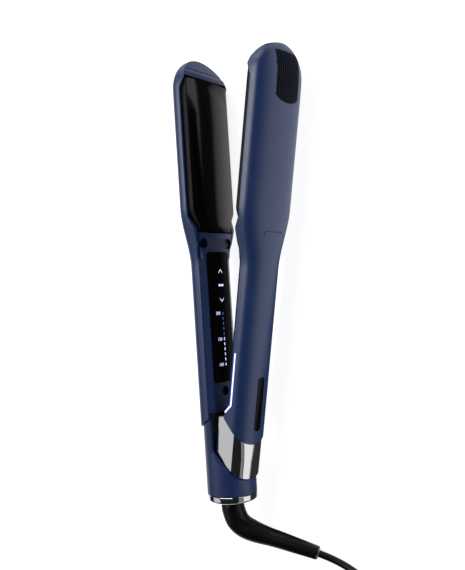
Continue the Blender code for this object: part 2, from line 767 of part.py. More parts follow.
def make_tie(root, material):
    cx, cy = COIL_CENTRE
    turn = Matrix.Rotation(TIE_ANGLE, 4, "Z")
    centre = Vector((cx, cy - HINGE_Y, FLOOR_Z))

    def band(grow, half_length):
        reach = COIL_SIDE / 2 + GAP + grow
        low, high = TIE_THICKNESS - grow, TIE_THICKNESS + 2 * GAP + COIL_SIDE + grow
        inside = reach + TIE_BOW
        outline = [(-inside, low), (reach, low), (reach, high), (-inside, high)]
        return prism(
            outline, -half_length, half_length, lambda r, h, t: centre + turn @ Vector((COIL_RADIUS + r, t, h))
        )

    tie = add_mesh("cord_tie", band(TIE_THICKNESS, 4.5), root, material)
    boolean(tie, add_mesh("tie_opening", band(0.0, 8.0), root), "DIFFERENCE")


def make_plug(root, looks):
    """A flat two-pin plug lying on the table, with its pins pointing away from the cord."""
    turn = Matrix.Rotation(PLUG_ANGLE, 4, "Z")
    centre = Vector((PLUG_PLACE[0], PLUG_PLACE[1] - HINGE_Y, FLOOR_Z + PLUG_HALF_HEIGHT))

    def at(x, y, z):
        return centre + turn @ Vector((x, y, z))

    rings = []
    for x, wide, high in PLUG_SHAPE:
        ring = []
        for step in range(20):
            angle = 2 * math.pi * (step + 0.5) / 20
            y = math.copysign(abs(math.cos(angle)) ** 0.55, math.cos(angle)) * wide
            z = math.copysign(abs(math.sin(angle)) ** 0.55, math.sin(angle)) * high
            ring.append(at(x, y, z))
        rings.append(ring)
    add_mesh("plug_body", loft(rings), root, looks["rubber"])
    for number, y in enumerate((-9.3, 9.3), 1):
        pin = turned(PIN_PROFILE, lambda a, b, h, y=y: at(-h, y + a, b), 12)
        add_mesh(f"plug_pin_{number}", pin, root, looks["chrome"])


def make_looks():
    return {
        "navy": make_material("soft_touch_navy", (0.035, 0.06, 0.16), 0.42),
        "rubber": make_material("black_rubber", (0.012, 0.012, 0.013), 0.5),
        "grip": make_material("ribbed_grip", (0.03, 0.05, 0.13), 0.5),
        "gloss": make_material("black_gloss", (0.006, 0.006, 0.008), 0.08),
        "plate": make_material("coated_plate", (0.01, 0.01, 0.011), 0.12, 0.6),
        "chrome": make_material("chrome", (0.8, 0.8, 0.82), 0.06, 1.0),
        "steel": make_material("steel", (0.5, 0.5, 0.52), 0.3, 1.0),
        "bronze": make_material("bronze", (0.5, 0.33, 0.14), 0.35, 1.0),
        "ceramic": make_material("ceramic", (0.75, 0.72, 0.66), 0.6),
        "glass": make_material("sensor_glass", (0.7, 0.4, 0.15), 0.2),
        "silicone": make_material("silicone", (0.05, 0.05, 0.05), 0.7),
        "heatproof": make_material("heatproof_plastic", (0.02, 0.02, 0.02), 0.55),
        "board": make_material("circuit_board", (0.02, 0.14, 0.06), 0.45),
        "light": make_material("light_guide", (0.55, 0.6, 1.0), 0.2, 0.0, 4.0),
    }


def main():
    clear_scene()
    looks = make_looks()
    hinge = (-CENTRE_X, HINGE_Y - CENTRE_Y, HEAD_HALF_WIDTH)
    root = make_empty("base_frame", hinge)
    moving_frame = make_empty("moving_frame", hinge, -OPEN_ANGLE)
    swivel = make_empty("swivel_frame", hinge)

    base = Arm("base", -1, root)
    make_shell(base, BASE_BOTTOM, BASE_SLANT, looks["navy"], looks["grip"])
    base_cover = make_inner_cover(base, looks["navy"], 0.0)
    make_panel(base, base_cover, looks)

    moving = Arm("moving", 1, moving_frame)
    moving_shell = make_shell(moving, MOVING_BOTTOM, MOVING_SLANT, looks["navy"], looks["grip"])
    make_inner_cover(moving, looks["navy"], 66.3)
    make_badge(moving, moving_shell, looks)
    make_light(moving, moving_shell, looks)
    make_sleeve(moving, looks)

    for arm in (base, moving):
        make_screws(arm, looks["steel"])
        make_plate(arm, looks["plate"])
        make_heating(arm, looks)

    make_collar(root, looks["navy"])
    make_end_ring(root, looks)
    make_hinge_pin(root, looks["steel"])
    make_spring(root, looks["steel"])
    make_swivel(swivel, looks)
    make_cord(root, looks)
    make_plug(root, looks)


main()
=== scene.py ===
import json
import math

import bmesh
import bpy
from mathutils import Matrix, Vector


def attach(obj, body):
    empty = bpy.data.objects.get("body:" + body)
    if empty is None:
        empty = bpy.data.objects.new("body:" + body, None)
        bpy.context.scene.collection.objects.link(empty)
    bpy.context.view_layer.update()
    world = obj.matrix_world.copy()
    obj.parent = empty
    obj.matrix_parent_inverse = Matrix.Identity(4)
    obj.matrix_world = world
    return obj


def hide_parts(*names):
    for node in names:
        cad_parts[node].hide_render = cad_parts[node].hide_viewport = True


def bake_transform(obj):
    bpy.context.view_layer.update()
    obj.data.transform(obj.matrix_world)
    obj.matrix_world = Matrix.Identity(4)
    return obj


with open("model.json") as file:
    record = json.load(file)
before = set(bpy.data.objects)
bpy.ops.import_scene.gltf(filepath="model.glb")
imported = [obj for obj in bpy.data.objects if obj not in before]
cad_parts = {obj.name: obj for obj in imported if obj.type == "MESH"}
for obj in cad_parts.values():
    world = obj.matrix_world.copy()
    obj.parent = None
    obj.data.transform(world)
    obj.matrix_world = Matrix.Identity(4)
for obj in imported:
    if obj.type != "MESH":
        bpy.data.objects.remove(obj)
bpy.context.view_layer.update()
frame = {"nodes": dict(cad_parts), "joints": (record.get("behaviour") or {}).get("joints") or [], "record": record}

# Each arm is drawn in its own closed frame, in millimetres: u runs outward from the plane where
# the closed plates meet, y from the bottom of the end ring to the tips, and z across the iron.
MM = 0.001
HINGE_JOINT = next(joint for joint in frame["joints"] if joint["name"] == "arm_hinge")
HINGE = Vector(HINGE_JOINT["pos_m"])
OPEN_ANGLE = math.radians(HINGE_JOINT["range_deg"][1])
HINGE_Y = 10.0

# Outline of an arm
TIP_Y = 289.2
HANDLE_HALF_WIDTH, HANDLE_DEPTH = 15.0, 16.5
HEAD_HALF_WIDTH, HEAD_DEPTH = 22.5, 17.5
WALL = 1.8
NECK_BOTTOM, NECK_TOP = 152.0, 190.0
TIP_ARCH_Y = 268.0
COVER_BOTTOM, COVER_TOP = 57.3, 173.8
SIDE_WALL_DEPTH = 6.5
SEAM_U = 3.3
COVER_U = 0.5
FACET_BOTTOM, FACET_TOP, FACET_WIDTH = 66.1, 156.8, 4.0
HEAD_EDGE_U, HOOD_U = 4.3, 0.8
TIP_EDGE_U, TIP_DEPTH = 5.6, 8.8
CAVITY_TOP = 275.6
BASE_BOTTOM, BASE_SLANT = 55.0, -0.52
MOVING_BOTTOM, MOVING_SLANT = 56.3, -0.95
EXPONENT = 2.2
BACK_STEPS = 26
RIM_RADIUS = 0.6
LIP_RISE, LIP_INSET = 0.55, 0.45
SLANT_FADE = 45
TIP_FALL = 14

# Panel, plates and trim
PANEL_BOTTOM, PANEL_TOP, PANEL_HALF_WIDTH = 76.0, 161.3, 10.4
PANEL_CORNER, PANEL_GAP = 3.2, 0.3
MARK_BACK_U, MARK_FACE_U = 0.45, 0.37
NUMBER_SIZE = 2.9
LEVEL_MARKS, DIM_LEVELS = 11, 5
LEVEL_TOP, LEVEL_PITCH, LEVEL_Z = 120.7, 3.34, -2.15
SCREW_HOLES = [(166.8, 12.0, 3.5), (166.8, -12.0, 3.5), (70.0, 0.0, 3.1)]
PLATE_BOTTOM, PLATE_TOP, PLATE_HALF_WIDTH, PLATE_BACK_U = 174.6, 274.6, 20.2, 4.9
PLATE_NOTCH = 4.6
PLATE_EDGE_U, PLATE_EDGE_DROP, PLATE_EDGE_WIDTH = 0.25, 0.5, 0.7
STRIP_ROUTE = [(5.5, 98.6), (5.5, 65.4), (1.4, 60.2)]
BADGE_BOTTOM, BADGE_TOP, BADGE_HALF_WIDTH, BADGE_CORNER = 49.0, 84.0, 3.25, 3.2
# Curve on the moving arm's back for a thin dark line: a painted shadow under the edge of a shallow step.
STEP_SHADOW_ROUTE = [
    (172.6, 9.9),
    (174.6, 9.2),
    (175.3, 7.8),
    (175.3, 0.0),
    (175.2, -5.9),
    (174.9, -7.4),
    (174.0, -8.4),
]
GRIP_TOP, GRIP_CORNER, GRIP_HALF_WIDTH, GRIP_BOW = 284.0, 258.0, 11.6, 5.4
GRIP_RIBS, RIB_STEPS, GRIP_STEPS = 13, 10, 60

# Hinge end
COLLAR_RADIUS, COLLAR_WALL, COLLAR_BOTTOM = 16.2, 2.0, 4.6
COLLAR_FLOOR_HOLE, COLLAR_FLOOR_LOW, COLLAR_FLOOR_HIGH = 5.2, 4.7, 6.0
RIM_BAND = 2.1
RIM_STOPS = [(-2.0, 31.5), (3.9, 25.6), (8.5, 20.2), (12.5, 15.9), (COLLAR_RADIUS, 14.0)]
TONGUE_X, TONGUE_TOP, TONGUE_SLANT, TONGUE_BAND = -1.9, 54.2, 0.51, 0.5
TONGUE_SIDE_TURNS = [96.4, 96.9, 97.3, 97.7, 262.3, 262.7, 263.1, 263.6]
LINING_INNER, LINING_OUTER = 13.2, 13.8
LINING_BOTTOM, LINING_TOP = 38.0, 58.0
LINING_START, LINING_END = 132.0, 228.0
RING_HEIGHT, RING_LIP, RING_CORNER, RING_WALL_RADIUS, RING_FLOOR = 4.3, 7.6, 1.5, 14.2, 1.6
SLEEVE_HALF_WIDTH, SLEEVE_BOTTOM, SLEEVE_SLANT = 13.1, 28.0, -0.62
SLEEVE_TOP, SLEEVE_CUT_U, SLEEVE_CUT_SLANT = 56.6, -3.6, 1.2
SLEEVE_SIDE_U, SLEEVE_BACK_U, SLEEVE_WALL = 7.0, 16.2, 1.5

# Cord: its listed routes, and the coil that takes up its spare length
FLOOR_Z = -HEAD_HALF_WIDTH
CORD_DIAMETER = 4.4
CORD_Z = FLOOR_Z + CORD_DIAMETER / 2
RELIEF_ROUTE = [
    (0, 0.3, 0),
    (0, -7, 0),
    (3.6, -15.4, -1),
    (13, -20.6, -3.8),
    (33, -25.9, -10),
    (53, -31.4, -16.4),
]
RELIEF_RADII = [(0, 7.0), (0.03, 7.0), (0.07, 7.6), (0.2, 7.6), (0.36, 7.0), (0.55, 5.6), (1, 4.2)]
LEAD_ROUTE = [
    (53.5, -31.6, -16.55),
    (60.0, -33.7, -18.4),
    (69.0, -37.0, -20.0),
    (80.0, -41.6, CORD_Z),
    (96.0, -48.0, CORD_Z),
    (113.0, -55.5, CORD_Z),
    (125.0, -64.0, CORD_Z),
    (132.5, -75.5, CORD_Z),
    (135.2, -88.0, CORD_Z),
]
TAIL_ROUTE = [
    (92.0, -130.2, CORD_Z),
    (84.0, -129.8, CORD_Z),
    (77.0, -128.4, -19.6),
    (70.0, -126.4, -17.2),
    (65.0, -124.98, -15.7),
]
COIL_CENTRE = (98.0, -93.0)
COIL_RADIUS, COIL_SIDE = 26.0, 17.8
COIL_LAYERS = 4
COIL_PITCH = 4.46
COIL_FIRST_STEP, COIL_STEP_SPAN = 280.0, 40.0
TIE_ANGLE = math.radians(150)
TIE_THICKNESS = 0.6
TIE_ROWS = [(-4.5, 0.2), (-4.3, 0.5), (-4.0, 0.6), (4.0, 0.6), (4.3, 0.5), (4.5, 0.2)]
PLUG_ANGLE = math.radians(-17)
PLUG_HALF_HEIGHT = 6.85
PLUG_PLACE = (14.0, -109.4)
PLUG_ROUNDNESS = 0.55

# Studio, in metres and watts
FLOOR_GLOW = 0.88
# Painted reflections on the floor: glossy rays see bands across X, dark between the arms as painted shade and
# bright on either side.
PAINTED_REFLECTION_HALF_SPAN = 0.05
PAINTED_REFLECTION_STOPS = [(0.24, 1.0), (0.36, 0.45), (0.41, 0.03), (0.67, 0.03), (0.76, 0.85)]
ROOM_STRENGTH, BACKDROP_STRENGTH = 0.015, 1.1
IRON_MIDDLE = (0, 0, 0.02)
CAMERA_LENS, CAMERA_SENSOR = 43.89, 36.0
CAMERA_PLACE = (0.2746, 0.0019, 0.3686)
CAMERA_RIGHT = (0.76664, -0.06391, -0.63889)
CAMERA_UP = (0.06329, 0.99771, -0.02386)

BASE, MOVING, SWIVEL = "base_arm", "moving_arm", "swivel"


def smooth_step(value, low, high):
    share = min(max((value - low) / (high - low), 0.0), 1.0)
    return share * share * (3 - 2 * share)


def between(value, stops):
    """Straight-line reading of a list of (place, value) stops."""
    if value <= stops[0][0]:
        return stops[0][1]
    for (a, first), (b, second) in zip(stops, stops[1:]):
        if value <= b:
            return first + (second - first) * (value - a) / (b - a)
    return stops[-1][1]


def spaced(low, high, step):
    """Evenly spaced values from low to high, about step apart, both ends included."""
    count = max(round((high - low) / step), 1)
    return [low + (high - low) * k / count for k in range(count + 1)]


# ---------------------------------------------------------------- materials


def noise(tree, coords, scale, detail=3.0):
    made = tree.nodes.new("ShaderNodeTexNoise")
    made.inputs["Scale"].default_value = scale
    made.inputs["Detail"].default_value = detail
    tree.links.new(coords.outputs["Object"], made.inputs["Vector"])
    return made.outputs["Fac"]


def ranged(tree, value, low, high):
    """Spreads a noise's middle values over low to high."""
    made = tree.nodes.new("ShaderNodeMapRange")
    made.inputs["From Min"].default_value = 0.3
    made.inputs["From Max"].default_value = 0.7
    made.inputs["To Min"].default_value = low
    made.inputs["To Max"].default_value = high
    tree.links.new(value, made.inputs["Value"])
    return made.outputs["Result"]


def make_look(name, colour, roughness, metallic=0.0, grain=0.25, grain_size=0.35, mottle=0.08, **sockets):
    """A moulded or machined finish: broad colour drift, uneven gloss and a fine surface grain."""
    made = bpy.data.materials.new(name)
    made.use_nodes = True
    tree = made.node_tree
    shader = tree.nodes["Principled BSDF"]
    shader.inputs["Metallic"].default_value = metallic
    for socket, value in sockets.items():
        shader.inputs[socket.replace("_", " ").title().replace("Ior", "IOR")].default_value = value
    coords = tree.nodes.new("ShaderNodeTexCoord")
    drift = tree.nodes.new("ShaderNodeMix")
    drift.data_type = "RGBA"
    drift.inputs["A"].default_value = (*[value * (1 - mottle) for value in colour], 1)
    drift.inputs["B"].default_value = (*[min(value * (1 + mottle), 1.0) for value in colour], 1)
    tree.links.new(noise(tree, coords, 60.0), drift.inputs["Factor"])
    tree.links.new(drift.outputs["Result"], shader.inputs["Base Color"])
    gloss = ranged(tree, noise(tree, coords, 240.0), roughness * 0.92, roughness * 1.08)
    tree.links.new(gloss, shader.inputs["Roughness"])
    bump = tree.nodes.new("ShaderNodeBump")
    bump.inputs["Strength"].default_value = grain
    bump.inputs["Distance"].default_value = 0.05 * MM
    tree.links.new(noise(tree, coords, 1 / (grain_size * MM), 2.0), bump.inputs["Height"])
    tree.links.new(bump.outputs["Normal"], shader.inputs["Normal"])
    return made


def make_glow(name, colour, strength):
    made = make_look(name, colour, 0.3, grain=0.05)
    shader = made.node_tree.nodes["Principled BSDF"]
    shader.inputs["Emission Color"].default_value = (*colour, 1)
    shader.inputs["Emission Strength"].default_value = strength
    return made


LOOKS = {
    "navy": make_look("soft_touch_navy", (0.0085, 0.029, 0.114), 0.40, grain=0.3, specular_ior_level=0.75),
    "grip": make_look("ribbed_grip_navy", (0.004, 0.007, 0.018), 0.5, grain=0.3, specular_ior_level=0.2),
    "plate": make_look("coated_plate_black", (0.002, 0.002, 0.0025), 0.11, grain=0.04, mottle=0.2),
    "gloss": make_look(
        "gloss_black", (0.002, 0.002, 0.003), 0.12, grain=0.03, mottle=0.2, specular_ior_level=0.12
    ),
    "chrome": make_look("polished_chrome", (0.86, 0.86, 0.88), 0.045, 1.0, grain=0.02, mottle=0.01),
    "pin_metal": make_look("nickel_pin", (0.72, 0.71, 0.68), 0.2, 1.0, grain=0.05, mottle=0.02),
    "steel": make_look("steel", (0.5, 0.5, 0.52), 0.3, 1.0, grain=0.15),
    "dark_steel": make_look("blackened_steel", (0.05, 0.05, 0.055), 0.35, 1.0, grain=0.2),
    "bronze": make_look("bronze", (0.5, 0.33, 0.14), 0.35, 1.0, grain=0.15),
    "ceramic": make_look("fired_ceramic", (0.72, 0.69, 0.62), 0.55, grain=0.4),
    "sensor": make_look("sensor_film", (0.5, 0.2, 0.05), 0.3, grain=0.1),
    "silicone": make_look("silicone", (0.02, 0.02, 0.021), 0.55, grain=0.3),
    "heatproof": make_look("heatproof_plastic", (0.012, 0.012, 0.013), 0.5, grain=0.5),
    "board": make_look("circuit_board", (0.015, 0.1, 0.04), 0.4, grain=0.3),
    "rubber": make_look(
        "black_rubber", (0.004, 0.004, 0.0045), 0.3, grain=0.35, grain_size=0.3, specular_ior_level=0.3
    ),
    "light": make_glow("light_guide", (0.27, 0.30, 1.0), 4.5),
}
ICON_LOOK = make_glow("lit_icon", (0.62, 0.68, 1.0), 1.1)
EDGE_LOOK = make_look("matte_plate_edge", (0.008, 0.008, 0.009), 0.62, grain=0.9, specular_ior_level=0.2)
DIM_LOOK = make_glow("dim_icon", (0.035, 0.10, 0.40), 0.75)


# ---------------------------------------------------------------- mesh helpers


def make_piece(name, bm, look, body, nodes=(), sharp=35.0):
    """A finished piece from a bmesh in metres: shaded, given its material, and tied to its CAD body."""
    bmesh.ops.recalc_face_normals(bm, faces=bm.faces)
    mesh = bpy.data.meshes.new(name)
    bm.to_mesh(mesh)
    bm.free()
    mesh.shade_smooth()
    mesh.set_sharp_from_angle(angle=math.radians(sharp))
    made = bpy.data.objects.new(name, mesh)
    bpy.context.scene.collection.objects.link(made)
    return finish_piece(made, look, body, nodes)


def finish_piece(made, look, body, nodes=()):
    """Gives a piece its material and its body, and hides the CAD nodes that it stands in for."""
    material = look if isinstance(look, bpy.types.Material) else LOOKS[look]
    made.data.materials.clear()
    made.data.materials.append(material)
    if body:
        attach(made, body)
    if nodes:
        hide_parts(*nodes)
    return made


def loft(rings, closed=True, caps=True):
    """Faces through rings of points. caps closes the two ends."""
    bm = bmesh.new()
    rows = [[bm.verts.new(point) for point in ring] for ring in rings]
    count = len(rows[0])
    for first, second in zip(rows, rows[1:]):
        for i in range(count if closed else count - 1):
            j = (i + 1) % count
            bm.faces.new((first[i], first[j], second[j], second[i]))
    if caps:
        bm.faces.new(rows[0][::-1])
        bm.faces.new(rows[-1])
    return bm


def merged(*meshes):
    whole = bmesh.new()
    for part in meshes:
        mesh = bpy.data.meshes.new("merged")
        part.to_mesh(mesh)
        part.free()
        whole.from_mesh(mesh)
        bpy.data.meshes.remove(mesh)
    return whole


def turned(profile, place, segments=96):
    """A closed (radius, height) profile turned round an axis."""
    rings = []
    for step in range(segments + 1):
        turn = 2 * math.pi * step / segments
        rings.append([place(r * math.cos(turn), r * math.sin(turn), h) for r, h in profile])
    bm = loft(rings, caps=False)
    bmesh.ops.remove_doubles(bm, verts=bm.verts, dist=1e-7)
    return bm


def softened(corners, radius, steps=4):
    """A closed outline with each corner rounded."""
    outline = []
    count = len(corners)
    for k, corner in enumerate(corners):
        here = Vector(corner)
        before = Vector(corners[k - 1]) - here
        after = Vector(corners[(k + 1) % count]) - here
        reach = min(radius, before.length * 0.45, after.length * 0.45)
        start, end = here + before.normalized() * reach, here + after.normalized() * reach
        for step in range(steps + 1):
            t = step / steps
            point = start * (1 - t) ** 2 + here * 2 * t * (1 - t) + end * t**2
            outline.append(tuple(point))
    return outline


def cut(target, cutter_mesh):
    """Removes a closed shape from a piece, and applies the cut."""
    bmesh.ops.recalc_face_normals(cutter_mesh, faces=cutter_mesh.faces)
    mesh = bpy.data.meshes.new("cutter")
    cutter_mesh.to_mesh(mesh)
    cutter_mesh.free()
    cutter = bpy.data.objects.new("cutter", mesh)
    bpy.context.scene.collection.objects.link(cutter)
    modifier = target.modifiers.new("cut", "BOOLEAN")
    modifier.operation = "DIFFERENCE"
    modifier.solver = "EXACT"
    modifier.object = cutter
    apply_modifiers(target)
    bpy.data.objects.remove(cutter)


def apply_modifiers(target, sharp=35.0):
    """Replaces a piece's mesh by what its modifiers make of it."""
    graph = bpy.context.evaluated_depsgraph_get()
    mesh = bpy.data.meshes.new_from_object(target.evaluated_get(graph))
    old = target.data
    target.modifiers.clear()
    target.data = mesh
    bpy.data.meshes.remove(old)
    mesh.shade_smooth()
    mesh.set_sharp_from_angle(angle=math.radians(sharp))


def iron_point(x, y, z):
    """From the iron's own millimetres to the frame's metres."""
    return HINGE + Vector((x, y - HINGE_Y, z)) * MM


def upright(a, b, h):
    return iron_point(a, h, b)


class Arm:
    """One arm's frame: side is -1 for the base arm and 1 for the moving arm."""

    def __init__(self, prefix, side, turn, bottom, slant):
        self.prefix = prefix
        self.side = side
        self.turn = Matrix.Rotation(turn, 3, "Z")
        self.bottom = bottom
        self.slant = slant
        self.body = f"{prefix}_arm"

    def point(self, u, y, z):
        return HINGE + self.turn @ Vector((self.side * u, y - HINGE_Y, z)) * MM

    def prism(self, outline, u0, u1):
        """An outline of (y, z) points, from one depth to another."""
        return loft([[self.point(u, y, z) for y, z in outline] for u in (u0, u1)])

    def rod(self, u0, u1, radius, y, z, segments=40):
        profile = [(0, u0), (radius, u0), (radius, u1), (0, u1)]
        return turned(profile, lambda a, b, h: self.point(h, y + a, z + b), segments)


ARMS = (
    Arm("base", -1, 0.0, BASE_BOTTOM, BASE_SLANT),
    Arm("moving", 1, -OPEN_ANGLE, MOVING_BOTTOM, MOVING_SLANT),
)
BASE_ARM, MOVING_ARM = ARMS


# ---------------------------------------------------------------- shells


def half_width(y):
    """Half of the arm's width: the handle, the wider head and the arched tip."""
    if y > TIP_ARCH_Y:
        share = (y - TIP_ARCH_Y) / (TIP_Y - TIP_ARCH_Y)
        return HEAD_HALF_WIDTH * math.sqrt(max(1 - share * share, 0.001))
    grown = smooth_step(y, NECK_BOTTOM, NECK_TOP)
    return HANDLE_HALF_WIDTH + (HEAD_HALF_WIDTH - HANDLE_HALF_WIDTH) * grown


def depth(y):
    """Height of the back's centre line above the closing plane: it falls towards the tip."""
    if y > TIP_ARCH_Y - TIP_FALL:
        share = (y - TIP_ARCH_Y + TIP_FALL) / (TIP_Y - TIP_ARCH_Y + TIP_FALL)
        return TIP_DEPTH + (HEAD_DEPTH - TIP_DEPTH) * math.sqrt(max(1 - share**3, 0.001))
    return HANDLE_DEPTH + (HEAD_DEPTH - HANDLE_DEPTH) * smooth_step(y, NECK_BOTTOM, NECK_TOP)


def side_depth(y):
    """Height of the flat side wall above the closing plane."""
    return SIDE_WALL_DEPTH + 0.4 * smooth_step(y, TIP_ARCH_Y - 4, TIP_Y)


def back_u(y, z):
    """Height of the rounded back above the closing plane."""
    flat, deep, wide = side_depth(y), depth(y), half_width(y)
    share = min(abs(z) / wide, 1.0)
    return flat + (deep - flat) * max(1 - share**EXPONENT, 0.0) ** (1 / EXPONENT)


def cavity_half_width(y):
    """Half-width of the hollow: it narrows round the lower corners of the plate."""
    if y < 160:
        return half_width(y) - WALL
    stops = [
        (160.0, half_width(160.0) - WALL),
        (168.0, half_width(168.0) - WALL),
        (175.0, 17.3),
        (178.0, 17.3),
        (184.5, half_width(184.5) - WALL),
        (190.0, HEAD_HALF_WIDTH - WALL),
        (262.0, HEAD_HALF_WIDTH - WALL),
        (CAVITY_TOP, HEAD_HALF_WIDTH - WALL - 0.4),
    ]
    return between(y, stops)


def edge_u(arm, y):
    """Where the shell's inner edge lies: at the seam, over the plate's corners and at the hood."""
    stops = [
        (160.0, SEAM_U),
        (167.0, HOOD_U + 0.6),
        (176.0, HOOD_U),
        (184.0, HEAD_EDGE_U),
        (267.0, HEAD_EDGE_U),
        (273.5, HOOD_U),
        (278.0, HOOD_U + 0.5),
        (TIP_Y, TIP_EDGE_U),
    ]
    if arm.side > 0:
        stops = [(57.0, 0.4), (61.0, 0.6), (65.8, SEAM_U)] + stops
    hood_step = 0.35 * smooth_step(y, 279.4, 279.8) * (1 - smooth_step(y, 280.0, 281.2))
    return between(y, stops) + hood_step


def shell_rows(arm):
    """Where the shell's sections lie along the arm: close together where its shape changes."""
    low = [arm.bottom + rise for rise in (0.0, 0.12, 0.3, LIP_RISE)]
    low += spaced(arm.bottom + 1.0, 70.0, 1.0) + spaced(71.5, NECK_BOTTOM, 4.0)
    neck = spaced(153.0, 192.0, 0.9)
    head = spaced(195.0, 252.0, 5.0) + spaced(253.0, TIP_ARCH_Y, 0.75)
    tip = [
        TIP_ARCH_Y + (TIP_Y - TIP_ARCH_Y) * math.sin(math.radians(turn))
        for turn in spaced(1.5, 88.5, 1.5)
    ]
    return sorted(low + neck + head + tip + [CAVITY_TOP - 0.01, CAVITY_TOP + 0.01])


def back_curve(flat, deep, wide, steps, first=0):
    """The rounded back's half in (u, z), from the side wall to the centre line."""
    curve = []
    for step in range(first, steps + 1):
        turn = math.pi / 2 * step / steps
        u = flat + (deep - flat) * math.sin(turn) ** (2 / EXPONENT)
        curve.append((u, wide * max(math.cos(turn), 0.0) ** (2 / EXPONENT)))
    return curve


def outer_half(edge, flat, deep, wide):
    """Half of the outer skin's section: a rounded rim, the flat side wall and the rounded back."""
    radius = min(RIM_RADIUS, wide * 0.4)
    half = []
    for step in range(6):
        turn = math.pi / 2 * step / 5
        half.append((edge + radius * (1 - math.cos(turn)), wide - radius * (1 - math.sin(turn))))
    start = edge + radius
    half += [(start + (flat - start) * share, wide) for share in (0.3, 0.6)]
    return half + back_curve(flat, deep, wide, BACK_STEPS)


def inner_half(edge, flat, deep, wide):
    """Half of the hollow's section: a small bevel at the edge, the side and the back."""
    half = [(edge, wide + 0.2), (edge + 0.2, wide), (flat, wide)]
    return half + back_curve(flat, deep, wide, BACK_STEPS, first=1)


def mirrored(half):
    """A section from rim to rim, from its half that ends on the centre line."""
    half = half[:-1] + [(half[-1][0], 0.0)]
    return half + [(u, -z) for u, z in reversed(half[:-1])]


def shell_section(arm, y):
    """The closed outline of the shell in (u, z): its outer skin, then the hollow or the hood's face."""
    rise = min((y - arm.bottom) / LIP_RISE, 1.0)
    inset = LIP_INSET * (1 - math.sqrt(max(1 - (1 - rise) ** 2, 0.0)))
    edge, flat = edge_u(arm, y), side_depth(y)
    wide, deep = half_width(y) - inset, depth(y) - inset
    outer = mirrored(outer_half(edge, flat, deep, wide))
    hollow = mirrored(inner_half(edge, flat, depth(y) - WALL, cavity_half_width(y)))
    if y > CAVITY_TOP:
        reach = max(wide - RIM_RADIUS - 0.3, wide * 0.5)
        last = len(hollow) - 1
        hollow = [(edge, reach * (1 - 2 * k / last)) for k in range(last + 1)]
    return outer + hollow[::-1]


def make_shell(arm):
    """The arm's hollow shell: its bottom end is slanted, and its back is sunk under the grip."""
    rings = []
    for y in shell_rows(arm):
        lean = arm.slant * (1 - smooth_step(y, arm.bottom, arm.bottom + SLANT_FADE))
        ring = []
        for u, z in shell_section(arm, y):
            sunk = 1.1 * grip_share(y, z, 0.7) if u > SIDE_WALL_DEPTH + 1 else 0.0
            ring.append(arm.point(u - sunk, y + lean * u, z))
        rings.append(ring)
    return make_piece(f"{arm.prefix}_shell_skin", loft(rings), "navy", arm.body, [f"{arm.prefix}_shell"])


def grip_low(z):
    """The grip's bowed lower edge."""
    return GRIP_CORNER - GRIP_BOW * math.sqrt(max(1 - (z / GRIP_HALF_WIDTH) ** 2, 0.0))


def grip_share(y, z, inset):
    """1 inside the grip's outline drawn in by inset, 0 outside."""
    if y < 240:
        return 0.0
    across = smooth_step(GRIP_HALF_WIDTH - inset - abs(z), 0.0, 0.5)
    along = smooth_step(y - grip_low(min(abs(z), GRIP_HALF_WIDTH)) - inset, 0.0, 0.5)
    return across * along * smooth_step(GRIP_TOP - inset - y, 0.0, 0.5)


def make_tip_grip(arm):
    """The ribbed pad on the tip's back: rounded ribs along it, each with a scalloped lower end."""
    rings = []
    pitch = 2 * GRIP_HALF_WIDTH / GRIP_RIBS
    for k in range(GRIP_RIBS * RIB_STEPS + 1):
        z = -GRIP_HALF_WIDTH + pitch * k / RIB_STEPS
        phase = (k % RIB_STEPS) / RIB_STEPS
        ridge = math.sin(math.pi * phase) ** 0.7
        low = grip_low(z) - 0.5 * ridge
        ring = []
        for step in range(GRIP_STEPS + 1):
            y = low + (GRIP_TOP - low) * step / GRIP_STEPS
            border = min(smooth_step(y, low, low + 0.9), smooth_step(-y, -GRIP_TOP, 0.7 - GRIP_TOP))
            border = min(border, smooth_step(-abs(z), -GRIP_HALF_WIDTH, 0.6 - GRIP_HALF_WIDTH))
            lift = -0.85 + border * (0.05 + 0.95 * ridge)
            ring.append(arm.point(back_u(y, z) + lift, y, z))
        rings.append(ring)
    bm = loft(rings, closed=False, caps=False)
    return make_piece(f"{arm.prefix}_grip_ribs", bm, "grip", arm.body, [f"{arm.prefix}_tip_grip"], sharp=60)


# ---------------------------------------------------------------- covers, panel and plates


def cover_half(arm, y):
    """Half of the inner cover's section in (u, z), from the flat face's middle to its back."""
    inner = cavity_half_width(y) - 0.3
    low = 0.0 if arm.side < 0 else FACET_BOTTOM
    if low < y < FACET_TOP:
        flat, rim = half_width(y) - FACET_WIDTH, (SEAM_U - 0.3, half_width(y) - 0.1)
    else:
        flat, rim = inner - 0.6, (COVER_U + 0.4, inner - 0.15)
    return [
        (COVER_U, 0.0),
        (COVER_U, flat - 0.5),
        (COVER_U + 0.12, flat - 0.1),
        (COVER_U + 0.45, flat + 0.3) if rim[0] > 2 else (COVER_U + 0.2, flat + 0.2),
        (rim[0] - 0.3, rim[1] - 0.25),
        rim,
        (rim[0] + 0.2, rim[1] - 0.15),
        (max(rim[0] + 0.3, 2.2), inner),
        (4.2, inner - 0.1),
    ]


